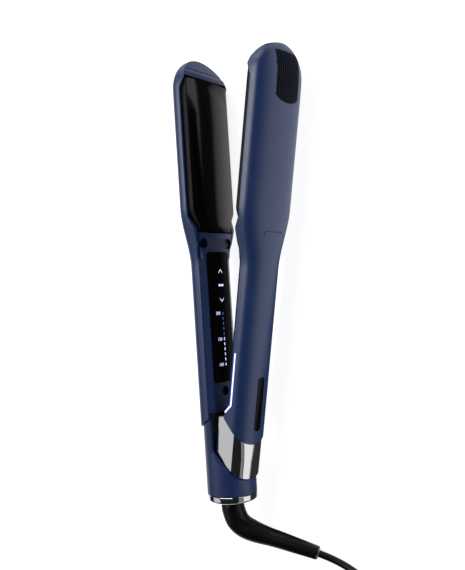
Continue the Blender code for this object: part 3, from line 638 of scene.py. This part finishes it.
def make_cover(arm):
    """The cover over the handle's open side, with screw holes and the base arm's panel pocket."""
    rings = []
    edges = [FACET_TOP - 0.05, FACET_TOP + 0.4]
    if arm.side > 0:
        edges += [FACET_BOTTOM - 0.05, FACET_BOTTOM + 0.35]
    rows = spaced(COVER_BOTTOM, FACET_TOP - 1, 3.0) + spaced(FACET_TOP + 1, COVER_TOP, 1.0)
    rows = [y for y in rows if all(abs(y - edge) > 0.3 for edge in edges)]
    for y in sorted(rows + edges):
        half = cover_half(arm, y)
        outline = half + [(u, -z) for u, z in reversed(half[1:])]
        rings.append([arm.point(u, y, z) for u, z in outline])
    nodes = [f"{arm.prefix}_inner_cover"]
    cover = make_piece(f"{arm.prefix}_cover_face", loft(rings), "navy", arm.body, nodes, sharp=32)
    holes = [arm.rod(-2.0, 3.6, radius, y, z) for y, z, radius in SCREW_HOLES]
    cut(cover, merged(*holes))
    if arm.side < 0:
        pocket = rounded(
            PANEL_BOTTOM - PANEL_GAP,
            PANEL_TOP + PANEL_GAP,
            PANEL_HALF_WIDTH + PANEL_GAP,
            PANEL_CORNER + PANEL_GAP,
        )
        cut(cover, arm.prism(pocket, -2.0, 2.0))


def rounded(low, high, half, radius):
    """A rounded rectangle in (y, z)."""
    corners = [(high, half), (low, half), (low, -half), (high, -half)]
    return softened(corners, radius, 8)


def make_slab(name, arm, outline_at, stops, look, body, nodes=()):
    """A slab with a shaped edge: outline_at(inset) in (y, z) at each (u, inset) stop."""
    rings = [[arm.point(u, y, z) for y, z in outline_at(inset)] for u, inset in stops]
    return make_piece(name, loft(rings), look, body, nodes)


def make_panel():
    """The touch panel: a gloss slab with a softened edge."""

    def outline(inset):
        return rounded(PANEL_BOTTOM + inset, PANEL_TOP - inset, PANEL_HALF_WIDTH - inset, PANEL_CORNER)

    stops = [(1.7, 0), (0.6, 0), (0.48, 0.05), (0.41, 0.16), (0.39, 0.3)]
    make_slab("touch_panel", BASE_ARM, outline, stops, "gloss", BASE, ["control_panel"])


def plate_outline(inset):
    """The plate's outline in (y, z), with cut lower corners and a slightly bowed top end."""
    half = PLATE_HALF_WIDTH - inset
    low, top = PLATE_BOTTOM, PLATE_TOP
    right = [(low, half - 5.4), (low + 0.25, half - 4.75)]
    right += [(low + 0.9, half - PLATE_NOTCH), (low + 3.2, half - PLATE_NOTCH)]
    right += [(low + 4.2, half - 4.45), (low + 12.8, half - 0.2), (low + 14.6, half)]
    right += [(y, half) for y in spaced(low + 20.0, top - 9.0, 6.0)]
    for step in range(11):
        z = (half - 0.3) * (1 - step / 11)
        right.append((top - 1.2 * (z / half) ** 2 - (0.35 if step == 0 else 0), z))
    return right + [(top, 0.0)] + [(y, -z) for y, z in reversed(right)]


def make_plate(arm):
    """The plate: a matte rounded edge all round, and the polished face it carries."""
    stops = [(PLATE_BACK_U, 0.0), (PLATE_EDGE_U + PLATE_EDGE_DROP, 0.0)]
    for step in range(1, 9):
        turn = math.pi / 2 * step / 8
        u = PLATE_EDGE_U + PLATE_EDGE_DROP * (1 - math.sin(turn))
        stops.append((u, PLATE_EDGE_WIDTH * (1 - math.cos(turn))))
    body = f"{arm.prefix}_plate_unit"
    edge = [[arm.point(u, y, z) for y, z in plate_outline(inset)] for u, inset in stops]
    make_piece(f"{arm.prefix}_plate_edge", loft(edge), EDGE_LOOK, body)
    face = [(1.2, 0.6), (0.2, 0.6), (0.15, PLATE_EDGE_WIDTH)]
    make_slab(f"{arm.prefix}_plate_face", arm, plate_outline, face, "plate", body, [f"{arm.prefix}_plate"])


# ---------------------------------------------------------------- marks on the panel


def mark(name, outline, look):
    """A thin lit shape that stands just proud of the touch panel."""
    rings = [[BASE_ARM.point(u, y, z) for y, z in outline] for u in (MARK_BACK_U, MARK_FACE_U)]
    return make_piece(name, loft(rings), look, BASE)


def make_chevron(name, y, z, rise):
    """An open arrow head of even stroke that points up for a rise above 0."""
    half, thick = 1.9, math.copysign(0.65, rise)
    outline = [(y, z - half), (y + rise, z), (y, z + half)]
    outline += [(y - thick, z + half), (y + rise - thick, z), (y - thick, z - half)]
    mark(name, outline, ICON_LOOK)


def make_number(text, y, z):
    """A lit number on the panel, from Blender's own typeface, reading across the handle."""
    curve = bpy.data.curves.new(f"number_{text}", "FONT")
    curve.body = text
    curve.size = NUMBER_SIZE * MM
    curve.align_x = "CENTER"
    curve.align_y = "CENTER"
    curve.extrude = 0.03 * MM
    curve.resolution_u = 3
    made = bpy.data.objects.new(f"number_{text}", curve)
    bpy.context.scene.collection.objects.link(made)
    across, up, out = Vector((0, 0, -1)), Vector((0, 1, 0)), Vector((1, 0, 0))
    place = Matrix((across, up, out)).transposed().to_4x4()
    place.translation = BASE_ARM.point(MARK_FACE_U, y, z)
    graph = bpy.context.evaluated_depsgraph_get()
    mesh = bpy.data.meshes.new_from_object(made.evaluated_get(graph))
    mesh.transform(place)
    bpy.data.objects.remove(made)
    shown = bpy.data.objects.new(f"number_{text}", mesh)
    bpy.context.scene.collection.objects.link(shown)
    finish_piece(shown, ICON_LOOK, BASE)


def make_marks():
    """The panel's lit marks: two arrows, a mode sign, three numbers and a column of level bars."""
    make_chevron("mark_up", 147.8, -2.2, 2.2)
    make_chevron("mark_down", 130.4, -2.1, -2.2)
    for k, middle in enumerate((-3.7, -2.0, -0.3)):
        outline = [(y, z + middle) for y, z in rounded(138.6, 140.1, 0.62, 0.3)]
        mark(f"mark_mode_{k + 1}", outline, ICON_LOOK)
    for text, y, z in (("200", 120.9, 2.6), ("150", 103.9, 2.3), ("100", 87.3, 2.3)):
        make_number(text, y, z)
    for k in range(LEVEL_MARKS):
        y = LEVEL_TOP - LEVEL_PITCH * k
        outline = [(a, b + LEVEL_Z) for a, b in rounded(y - 0.95, y + 0.95, 0.36, 0.2)]
        mark(f"level_{k + 1}", outline, DIM_LOOK if k < DIM_LEVELS else ICON_LOOK)


# ---------------------------------------------------------------- moving arm's trim


def make_light_strip():
    """The lit line on the side wall: a slim raised bar with a kink near the hinge."""
    line = [Vector(point) for point in STRIP_ROUTE]
    ahead = [(b - a).normalized() for a, b in zip(line, line[1:])]
    rings = []
    for half, lift in ((0.5, -0.8), (0.5, 0.0), (0.4, 0.12), (0.2, 0.18)):
        left, right = [], []
        for k, point in enumerate(line):
            before, after = ahead[max(k - 1, 0)], ahead[min(k, len(ahead) - 1)]
            middle = (before + after).normalized()
            side = Vector((-middle.y, middle.x)) * half / middle.dot(before)
            left.append(point + side)
            right.append(point - side)
        rings.append([MOVING_ARM.point(u, y, HANDLE_HALF_WIDTH + lift) for u, y in left + right[::-1]])
    make_piece("status_light", loft(rings), "light", MOVING, ["light_strip"])


def make_badge():
    """A blank capsule that follows the curve of the back."""
    outline = rounded(BADGE_BOTTOM, BADGE_TOP, BADGE_HALF_WIDTH, BADGE_CORNER)
    centre = (BADGE_BOTTOM + BADGE_TOP) / 2
    shares_and_lifts = [(1.0, -0.7), (1.0, 0.02), (0.97, 0.12)]
    shares_and_lifts += [(share, 0.16) for share in (0.9, 0.6, 0.3, 0.02)]
    rings = []
    for share, lift in shares_and_lifts:
        ring = []
        for y, z in outline:
            place_y = centre + (y - centre) * (1 - (1 - share) * 0.2)
            ring.append(MOVING_ARM.point(back_u(place_y, z * share) + lift, place_y, z * share))
        rings.append(ring)
    make_piece("blank_badge", loft(rings), "gloss", MOVING, ["badge"])


def make_step_shadow_line():
    """The fine curved dark line on the moving arm's back: a painted shadow under the edge of a shallow step there,
    drawn as a thin gloss-black tube.
    """
    route = [MOVING_ARM.point(back_u(y, z) - 0.05, y, z) for y, z in STEP_SHADOW_ROUTE]
    path = smooth_path(route, 0.6 * MM)
    make_piece("back_step_shadow", tube(path, [0.22 * MM] * len(path), 8), "gloss", MOVING)


# ---------------------------------------------------------------- hinge end


def rim_height(x):
    """The collar's slanting rim: high beside the base arm and low beside the moving arm."""
    return between(x, RIM_STOPS)


def make_collar():
    """The round cup with its bevelled rim, and the tongue that runs up into the base arm."""
    outer, inner = COLLAR_RADIUS, COLLAR_RADIUS - COLLAR_WALL
    turns = spaced(0.0, 360.0, 2.5)[:-1] + TONGUE_SIDE_TURNS
    rings = []
    for turn in sorted(turns):
        angle = math.radians(turn)
        x, z = math.cos(angle), math.sin(angle)
        top = rim_height(outer * x)
        band = RIM_BAND
        if outer * x < TONGUE_X:
            top = TONGUE_TOP + TONGUE_SLANT * outer * x
            band = TONGUE_BAND
        profile = [
            (inner, COLLAR_BOTTOM),
            (outer - 0.2, COLLAR_BOTTOM),
            (outer, COLLAR_BOTTOM + 0.3),
            (outer, HINGE_Y),
            (outer, top - 0.25),
            (outer - 0.12, top - 0.05),
            (inner + 0.9, top + band - 0.1),
            (inner + 0.75, top + band),
            (inner + 0.1, top + band),
            (inner, top + band - 0.15),
            (inner, HINGE_Y),
        ]
        rings.append([iron_point(r * x, h, r * z) for r, h in profile])
    bm = loft(rings + rings[:1], caps=False)
    bmesh.ops.remove_doubles(bm, verts=bm.verts, dist=1e-7)
    hole, reach, low, high = COLLAR_FLOOR_HOLE, inner + 0.2, COLLAR_FLOOR_LOW, COLLAR_FLOOR_HIGH
    floor = turned([(hole, low), (reach, low), (reach, high), (hole, high)], upright)
    make_piece("collar_cup", merged(bm, floor), "navy", BASE, ["hinge_collar"], sharp=32)


def make_lining():
    """The dark wall inside the mouth that closes the seam between the tongue and the base arm's shell."""
    profile = [(LINING_INNER, LINING_BOTTOM), (LINING_OUTER, LINING_BOTTOM)]
    profile += [(LINING_OUTER, LINING_TOP), (LINING_INNER, LINING_TOP)]
    rings = []
    for turn in spaced(LINING_START, LINING_END, 4.0):
        x, z = math.cos(math.radians(turn)), math.sin(math.radians(turn))
        rings.append([iron_point(r * x, h, r * z) for r, h in profile])
    make_piece("mouth_lining", loft(rings), "heatproof", BASE)


def make_ring():
    """The chrome ring that closes the collar's bottom, round the strain relief."""
    outer, lip, corner = COLLAR_RADIUS, RING_LIP, RING_CORNER
    profile = [(lip, RING_FLOOR), (lip, 0.35), (lip + 0.35, 0.0), (outer - corner, 0.0)]
    for step in range(1, 7):
        turn = math.pi / 2 * step / 6
        profile.append((outer - corner + corner * math.sin(turn), corner - corner * math.cos(turn)))
    profile += [(outer, RING_HEIGHT - 0.15), (outer - 0.15, RING_HEIGHT)]
    profile += [(RING_WALL_RADIUS, RING_HEIGHT), (RING_WALL_RADIUS, RING_FLOOR)]
    make_piece("chrome_ring", turned(profile, upright, 128), "chrome", BASE, ["end_ring"])


def sleeve_half(thick):
    """Half of the chrome sleeve's section, drawn in by thick: a flat side and a rounded back."""
    side = [(-6.8, 1.1), (-5.8, 0.5), (-4.6, 0.1), (-1.0, 0.0), (2.0, 0.0), (4.5, 0.0)]
    half = [(u, SLEEVE_HALF_WIDTH - inset - thick) for u, inset in side]
    return half + back_curve(SLEEVE_SIDE_U, SLEEVE_BACK_U - thick, SLEEVE_HALF_WIDTH - thick, 32)


def sleeve_ring(share, thick):
    """One line of the sleeve's skin from rim to rim, at a share of its height and below its cut top."""
    low, high = SLEEVE_BOTTOM, MOVING_BOTTOM - 0.6
    y = low + (high - low) * share
    slant = SLEEVE_SLANT + (MOVING_SLANT - SLEEVE_SLANT) * share
    line = []
    for u, z in mirrored(sleeve_half(thick)):
        top = SLEEVE_TOP + min((u - SLEEVE_CUT_U) * SLEEVE_CUT_SLANT, 0.0)
        line.append(MOVING_ARM.point(u, min(y + slant * u, top), z))
    return line


def make_sleeve():
    """The chrome lower end of the moving arm, open towards the base arm."""
    rings = []
    for share, thin in ((0.0, 0.35), (0.004, 0.15), (0.012, 0.0), (0.5, 0.0), (0.988, 0.0), (1.0, 0.2)):
        rings.append(sleeve_ring(share, thin) + sleeve_ring(share, SLEEVE_WALL - thin)[::-1])
    make_piece("chrome_sleeve", loft(rings), "chrome", MOVING, ["hinge_sleeve"], sharp=30)


# ---------------------------------------------------------------- cord


def smooth_path(route, spacing):
    """Points at even spacing along a Catmull-Rom curve through the route's points."""
    points = [Vector(point) for point in route]
    points = [2 * points[0] - points[1]] + points + [2 * points[-1] - points[-2]]
    fine = []
    for a, b, c, d in zip(points, points[1:], points[2:], points[3:]):
        for step in range(24):
            t = step / 24
            bend = (2 * a - 5 * b + 4 * c - d) * t**2
            twist = (3 * b - a - 3 * c + d) * t**3
            fine.append(0.5 * (2 * b + (c - a) * t + bend + twist))
    fine.append(points[-2])
    length = sum((b - a).length for a, b in zip(fine, fine[1:]))
    count = max(round(length / spacing), 2)
    kept, walked, target = [fine[0]], 0.0, length / count
    for a, b in zip(fine, fine[1:]):
        stretch = (b - a).length
        while stretch and walked + stretch >= target * len(kept) and len(kept) < count:
            kept.append(a.lerp(b, (target * len(kept) - walked) / stretch))
        walked += stretch
    return kept + [fine[-1]]


def tube(path, radii, segments=16):
    """A round body along a path of points in metres, with a radius at each point."""
    rings = []
    side = Vector((0, 0, 1))
    for k, point in enumerate(path):
        ahead = (path[min(k + 1, len(path) - 1)] - path[max(k - 1, 0)]).normalized()
        side = side - ahead * side.dot(ahead)
        if side.length < 1e-3:
            side = Vector((1, 0, 0)) - ahead * ahead.x
        side.normalize()
        other = ahead.cross(side)
        turns = [2 * math.pi * step / segments for step in range(segments)]
        rings.append([point + (side * math.cos(t) + other * math.sin(t)) * radii[k] for t in turns])
    return loft(rings)


def make_relief():
    """The bent strain relief, thick below the ring and slim where the cord leaves it."""
    path = smooth_path([iron_point(*point) for point in RELIEF_ROUTE], 0.35 * MM)
    last = len(path) - 1
    length = sum((b - a).length for a, b in zip(path, path[1:]))
    radii = []
    for k in range(last + 1):
        share = k / last
        radius = between(share, RELIEF_RADII)
        end = min((1 - share) * length / (0.6 * MM), 1.0)
        radii.append((radius - 0.5 * (1 - math.sqrt(max(1 - (1 - end) ** 2, 0)))) * MM)
    make_piece("bent_relief", tube(path, radii, 48), "rubber", SWIVEL, ["strain_relief"], sharp=40)


def coil_slots():
    """(radius, height) of each turn in the bundle, layer on layer, each wound back over the last."""
    reach = COIL_PITCH * (COIL_LAYERS - 1) / 2
    slots = []
    for layer in range(COIL_LAYERS):
        radii = [COIL_RADIUS + reach - COIL_PITCH * k for k in range(COIL_LAYERS)]
        height = FLOOR_Z + 0.9 + COIL_SIDE / 2 - reach + COIL_PITCH * layer
        slots += [(radius, height) for radius in (radii if layer % 2 == 0 else radii[::-1])]
    return slots


def coil_windows():
    """Where in each turn the cord steps to its next place, in degrees: later layers step sooner."""
    windows = []
    start = COIL_FIRST_STEP
    for turn in range(COIL_LAYERS**2 - 1):
        corner = turn % COIL_LAYERS == COIL_LAYERS - 1
        if turn and (corner or turn % COIL_LAYERS == 0):
            start -= COIL_STEP_SPAN
        windows.append(start)
    return windows


def coil_points():
    """The coil's centre line, clockwise from where the lead arrives to where the tail leaves."""
    cx, cy = COIL_CENTRE
    first, last = Vector(LEAD_ROUTE[-1]), Vector(TAIL_ROUTE[0])
    start = math.degrees(math.atan2(first.y - cy, first.x - cx))
    end = math.degrees(math.atan2(last.y - cy, last.x - cx))
    arrive = math.hypot(first.x - cx, first.y - cy)
    leave = math.hypot(last.x - cx, last.y - cy)
    slots, windows = coil_slots(), coil_windows()
    points = []
    total = 360.0 * (len(slots) - 1) + start - end
    step = 10.0
    for k in range(1, int(total / step)):
        run = k * step
        turn, angle = int(run // 360), run % 360
        radius, height = slots[turn]
        if turn < len(windows):
            moved = smooth_step(angle, windows[turn], windows[turn] + COIL_STEP_SPAN)
            radius += (slots[turn + 1][0] - radius) * moved
            height += (slots[turn + 1][1] - height) * moved
        if turn == 0:
            radius += (arrive - radius) * (1 - smooth_step(angle, 0, 45))
            height += (CORD_Z - height) * (1 - smooth_step(angle, 0, 45))
        if turn == len(slots) - 1:
            radius += (leave - radius) * smooth_step(angle, 0, 42)
            height += (CORD_Z - height) * smooth_step(angle, 32, start - end)
        place = math.radians(start - run)
        points.append((cx + radius * math.cos(place), cy + radius * math.sin(place), height))
    return points


def make_cord():
    """The one soft mains cord from the strain relief to the plug, with the strap and the plug on it."""
    lead = smooth_path([Vector(point) for point in LEAD_ROUTE], 2.0 * CORD_DIAMETER)
    tail = smooth_path([Vector(point) for point in TAIL_ROUTE], 2.0 * CORD_DIAMETER)
    route = [iron_point(*point) for point in lead + [Vector(point) for point in coil_points()] + tail]
    path = smooth_path(route, 1.6 * MM)
    cord = make_piece(
        "mains_cord",
        tube(path, [CORD_DIAMETER / 2 * MM] * len(path), 14),
        "rubber",
        None,
        ["cord_lead", "cord_coil", "cord_tail"],
        sharp=60,
    )
    tie, plug = make_tie(), make_plug()
    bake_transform(cord)


def strap_outline(thick, radius):
    """The strap's outline in (r, h): the box round the coil's section, grown by thick."""
    reach = COIL_SIDE / 2 + 0.35
    left, right = -reach - 0.7 - thick, reach + thick
    low, high = TIE_THICKNESS - thick, TIE_THICKNESS + 0.6 + COIL_SIDE + thick
    return softened([(left, low), (right, low), (right, high), (left, high)], radius, 6)


def make_tie():
    """A soft silicone strap round one side of the coil."""
    turn = Matrix.Rotation(TIE_ANGLE, 3, "Z")
    centre = Vector((*COIL_CENTRE, FLOOR_Z))

    def at(r, h, t):
        return iron_point(*(centre + turn @ Vector((COIL_RADIUS + r, t, h))))

    inner, outer = [], []
    for t, thick in TIE_ROWS:
        inner.append([at(r, h, t) for r, h in strap_outline(0.0, 2.5)])
        outer.append([at(r, h, t) for r, h in strap_outline(thick, 2.9)])
    ends = [loft([inner[k], outer[k]], caps=False) for k in (0, -1)]
    bm = merged(loft(inner, caps=False), loft(outer, caps=False), *ends)
    bmesh.ops.remove_doubles(bm, verts=bm.verts, dist=1e-7)
    return make_piece("coil_strap", bm, "silicone", BASE, ["cord_tie"], sharp=40)


def make_plug():
    """The moulded two-pin plug: a flat body with finger grips and a tapered neck."""
    turn = Matrix.Rotation(PLUG_ANGLE, 3, "Z")
    centre = Vector((*PLUG_PLACE, FLOOR_Z + PLUG_HALF_HEIGHT))
    shape = [(0, 15.9, 5.2), (0.25, 16.5, 5.8), (0.8, 17.2, 6.5), (1.6, 17.55, 6.8), (9, 17.4, 6.85)]
    shape += [(x, 17.4 - 3.8 * smooth_step(x, 9, 22), 6.8) for x in (12, 15, 18)]
    shape += [(22, 13.6, 6.7), (27, 10.8, 6.4), (32, 8.2, 6.0)]
    shape += [(35, 6.6, 5.5), (37, 5.4, 5.0), (41, 4.6, 4.4)]
    for rib in range(3):
        x = 41.6 + 3.2 * rib
        shape += [(x, 4.5 - 0.35 * rib, 4.3 - 0.32 * rib), (x + 0.4, 3.7 - 0.3 * rib, 3.6 - 0.28 * rib)]
        shape += [(x + 1.6, 3.7 - 0.3 * rib, 3.6 - 0.28 * rib), (x + 2.0, 4.4 - 0.35 * rib, 4.2 - 0.32 * rib)]
    shape += [(52.0, 3.3, 3.3), (52.5, 3.0, 3.0)]
    rings = []
    for x, wide, high in shape:
        ring = []
        for step in range(64):
            angle = 2 * math.pi * (step + 0.5) / 64
            y = math.copysign(abs(math.cos(angle)) ** PLUG_ROUNDNESS, math.cos(angle)) * wide
            z = math.copysign(abs(math.sin(angle)) ** PLUG_ROUNDNESS, math.sin(angle)) * high
            ring.append(iron_point(*(centre + turn @ Vector((x, y, z)))))
        rings.append(ring)
    return make_piece("moulded_plug", loft(rings), "rubber", BASE, ["plug_body"], sharp=40)


# ---------------------------------------------------------------- CAD pieces that stay


def dress_cad():
    """Gives each CAD node that still shows the finish of its own material slot."""
    slots = {part["node"]: part["material_slot"] for part in frame["record"]["subparts"]}
    for node, shape in frame["nodes"].items():
        look = LOOKS[slots[node]]
        if not shape.material_slots:
            shape.data.materials.append(look)
        for place in shape.material_slots:
            place.material = look


# ---------------------------------------------------------------- studio


def paint_reflection_bands(look, shader):
    """Paints the floor's reflections: glossy rays see glowing bands across X instead of the lit floor.

    The bands are dark between the arms, a painted shade, and bright on either side, a painted reflection of light.
    Other rays see the floor itself.
    """
    tree = look.node_tree
    coords = tree.nodes.new("ShaderNodeTexCoord")
    axes = tree.nodes.new("ShaderNodeSeparateXYZ")
    across = tree.nodes.new("ShaderNodeMapRange")
    across.inputs["From Min"].default_value = -PAINTED_REFLECTION_HALF_SPAN
    across.inputs["From Max"].default_value = PAINTED_REFLECTION_HALF_SPAN
    ramp = tree.nodes.new("ShaderNodeValToRGB")
    bands = ramp.color_ramp.elements
    bands[0].position = PAINTED_REFLECTION_STOPS[0][0]
    bands[1].position = PAINTED_REFLECTION_STOPS[-1][0]
    for place, _ in PAINTED_REFLECTION_STOPS[1:-1]:
        bands.new(place)
    for band, (_, level) in zip(bands, PAINTED_REFLECTION_STOPS):
        band.color = (level, level, level, 1)
    rays = tree.nodes.new("ShaderNodeLightPath")
    painted_bands = tree.nodes.new("ShaderNodeEmission")
    mix = tree.nodes.new("ShaderNodeMixShader")
    tree.links.new(coords.outputs["Object"], axes.inputs["Vector"])
    tree.links.new(axes.outputs["X"], across.inputs["Value"])
    tree.links.new(across.outputs["Result"], ramp.inputs["Fac"])
    tree.links.new(ramp.outputs["Color"], painted_bands.inputs["Color"])
    tree.links.new(rays.outputs["Is Glossy Ray"], mix.inputs["Fac"])
    tree.links.new(shader.outputs["BSDF"], mix.inputs[1])
    tree.links.new(painted_bands.outputs["Emission"], mix.inputs[2])
    tree.links.new(mix.outputs["Shader"], tree.nodes["Material Output"].inputs["Surface"])


def make_floor():
    """The pale table top. Its own glow makes most of the white that the camera sees."""
    bpy.ops.mesh.primitive_plane_add(size=4.0, location=(0, 0, 0))
    floor = bpy.context.object
    floor.name = "studio_floor"
    look = make_look("pale_floor", (0.6, 0.6, 0.605), 0.6, grain=0.0, mottle=0.004, specular_ior_level=0.1)
    shader = look.node_tree.nodes["Principled BSDF"]
    shader.inputs["Emission Color"].default_value = (1, 1, 1, 1)
    shader.inputs["Emission Strength"].default_value = FLOOR_GLOW
    # The floor's reflections are painted bands, with painted shade between the arms.
    paint_reflection_bands(look, shader)
    floor.data.materials.append(look)


def softbox(name, place, target, size, power):
    """A rectangular area light that faces its target."""
    light = bpy.data.lights.new(name, "AREA")
    light.shape = "RECTANGLE"
    light.size, light.size_y = size
    light.energy = power
    lamp = bpy.data.objects.new(name, light)
    lamp.location = place
    lamp.rotation_euler = (Vector(place) - Vector(target)).to_track_quat("Z", "Y").to_euler()
    bpy.context.scene.collection.objects.link(lamp)
    return lamp


def show_white(world):
    """The camera sees a white backdrop, and the object a nearly dark room."""
    tree = world.node_tree
    rays = tree.nodes.new("ShaderNodeLightPath")
    strength = tree.nodes.new("ShaderNodeMapRange")
    strength.inputs["To Min"].default_value = ROOM_STRENGTH
    strength.inputs["To Max"].default_value = BACKDROP_STRENGTH
    tree.links.new(rays.outputs["Is Camera Ray"], strength.inputs["Value"])
    tree.links.new(strength.outputs["Result"], tree.nodes["Background"].inputs["Strength"])


def make_lights():
    """Five softboxes and the dim room. The softbox named right lights the iron but isn't reflected."""
    softbox("left_upper", (-0.42, 0.42, 1.0), (0, 0.08, 0.02), (0.85, 0.75), 9.5)
    softbox("left_lower", (-0.75, -0.42, 0.85), (0, -0.08, 0.02), (0.6, 0.7), 0.72)
    softbox("right", (1.05, -0.05, 0.42), IRON_MIDDLE, (0.9, 0.6), 3.5).visible_glossy = False
    softbox("right_card", (0.9, -0.25, 0.22), IRON_MIDDLE, (1.7, 0.3), 0.3)
    softbox("beyond_tips", (-0.2, 1.1, 0.4), IRON_MIDDLE, (0.8, 0.35), 2.5)
    world = bpy.data.worlds.new("studio")
    bpy.context.scene.world = world
    world.use_nodes = True
    world.node_tree.nodes["Background"].inputs["Color"].default_value = (0.9, 0.93, 1.0, 1)
    show_white(world)


def make_camera():
    """The camera's place and turn: it looks down on the table from the moving arm's side."""
    camera = bpy.data.objects.new("camera", bpy.data.cameras.new("camera"))
    camera.data.lens = CAMERA_LENS
    camera.data.sensor_width = CAMERA_SENSOR
    right, up = Vector(CAMERA_RIGHT), Vector(CAMERA_UP)
    turn = Matrix((right, up, right.cross(up))).transposed().to_4x4()
    turn.translation = CAMERA_PLACE
    camera.matrix_world = turn
    bpy.context.scene.collection.objects.link(camera)
    bpy.context.scene.camera = camera


make_camera()
make_cord()
for arm in ARMS:
    make_shell(arm)
    make_tip_grip(arm)
    make_cover(arm)
    make_plate(arm)
make_panel()
make_marks()
make_light_strip()
make_badge()
make_step_shadow_line()
make_collar()
make_lining()
make_ring()
make_sleeve()
make_relief()
dress_cad()
make_floor()
make_lights()
bpy.context.scene.view_settings.view_transform = "Standard"
bpy.context.view_layer.update()
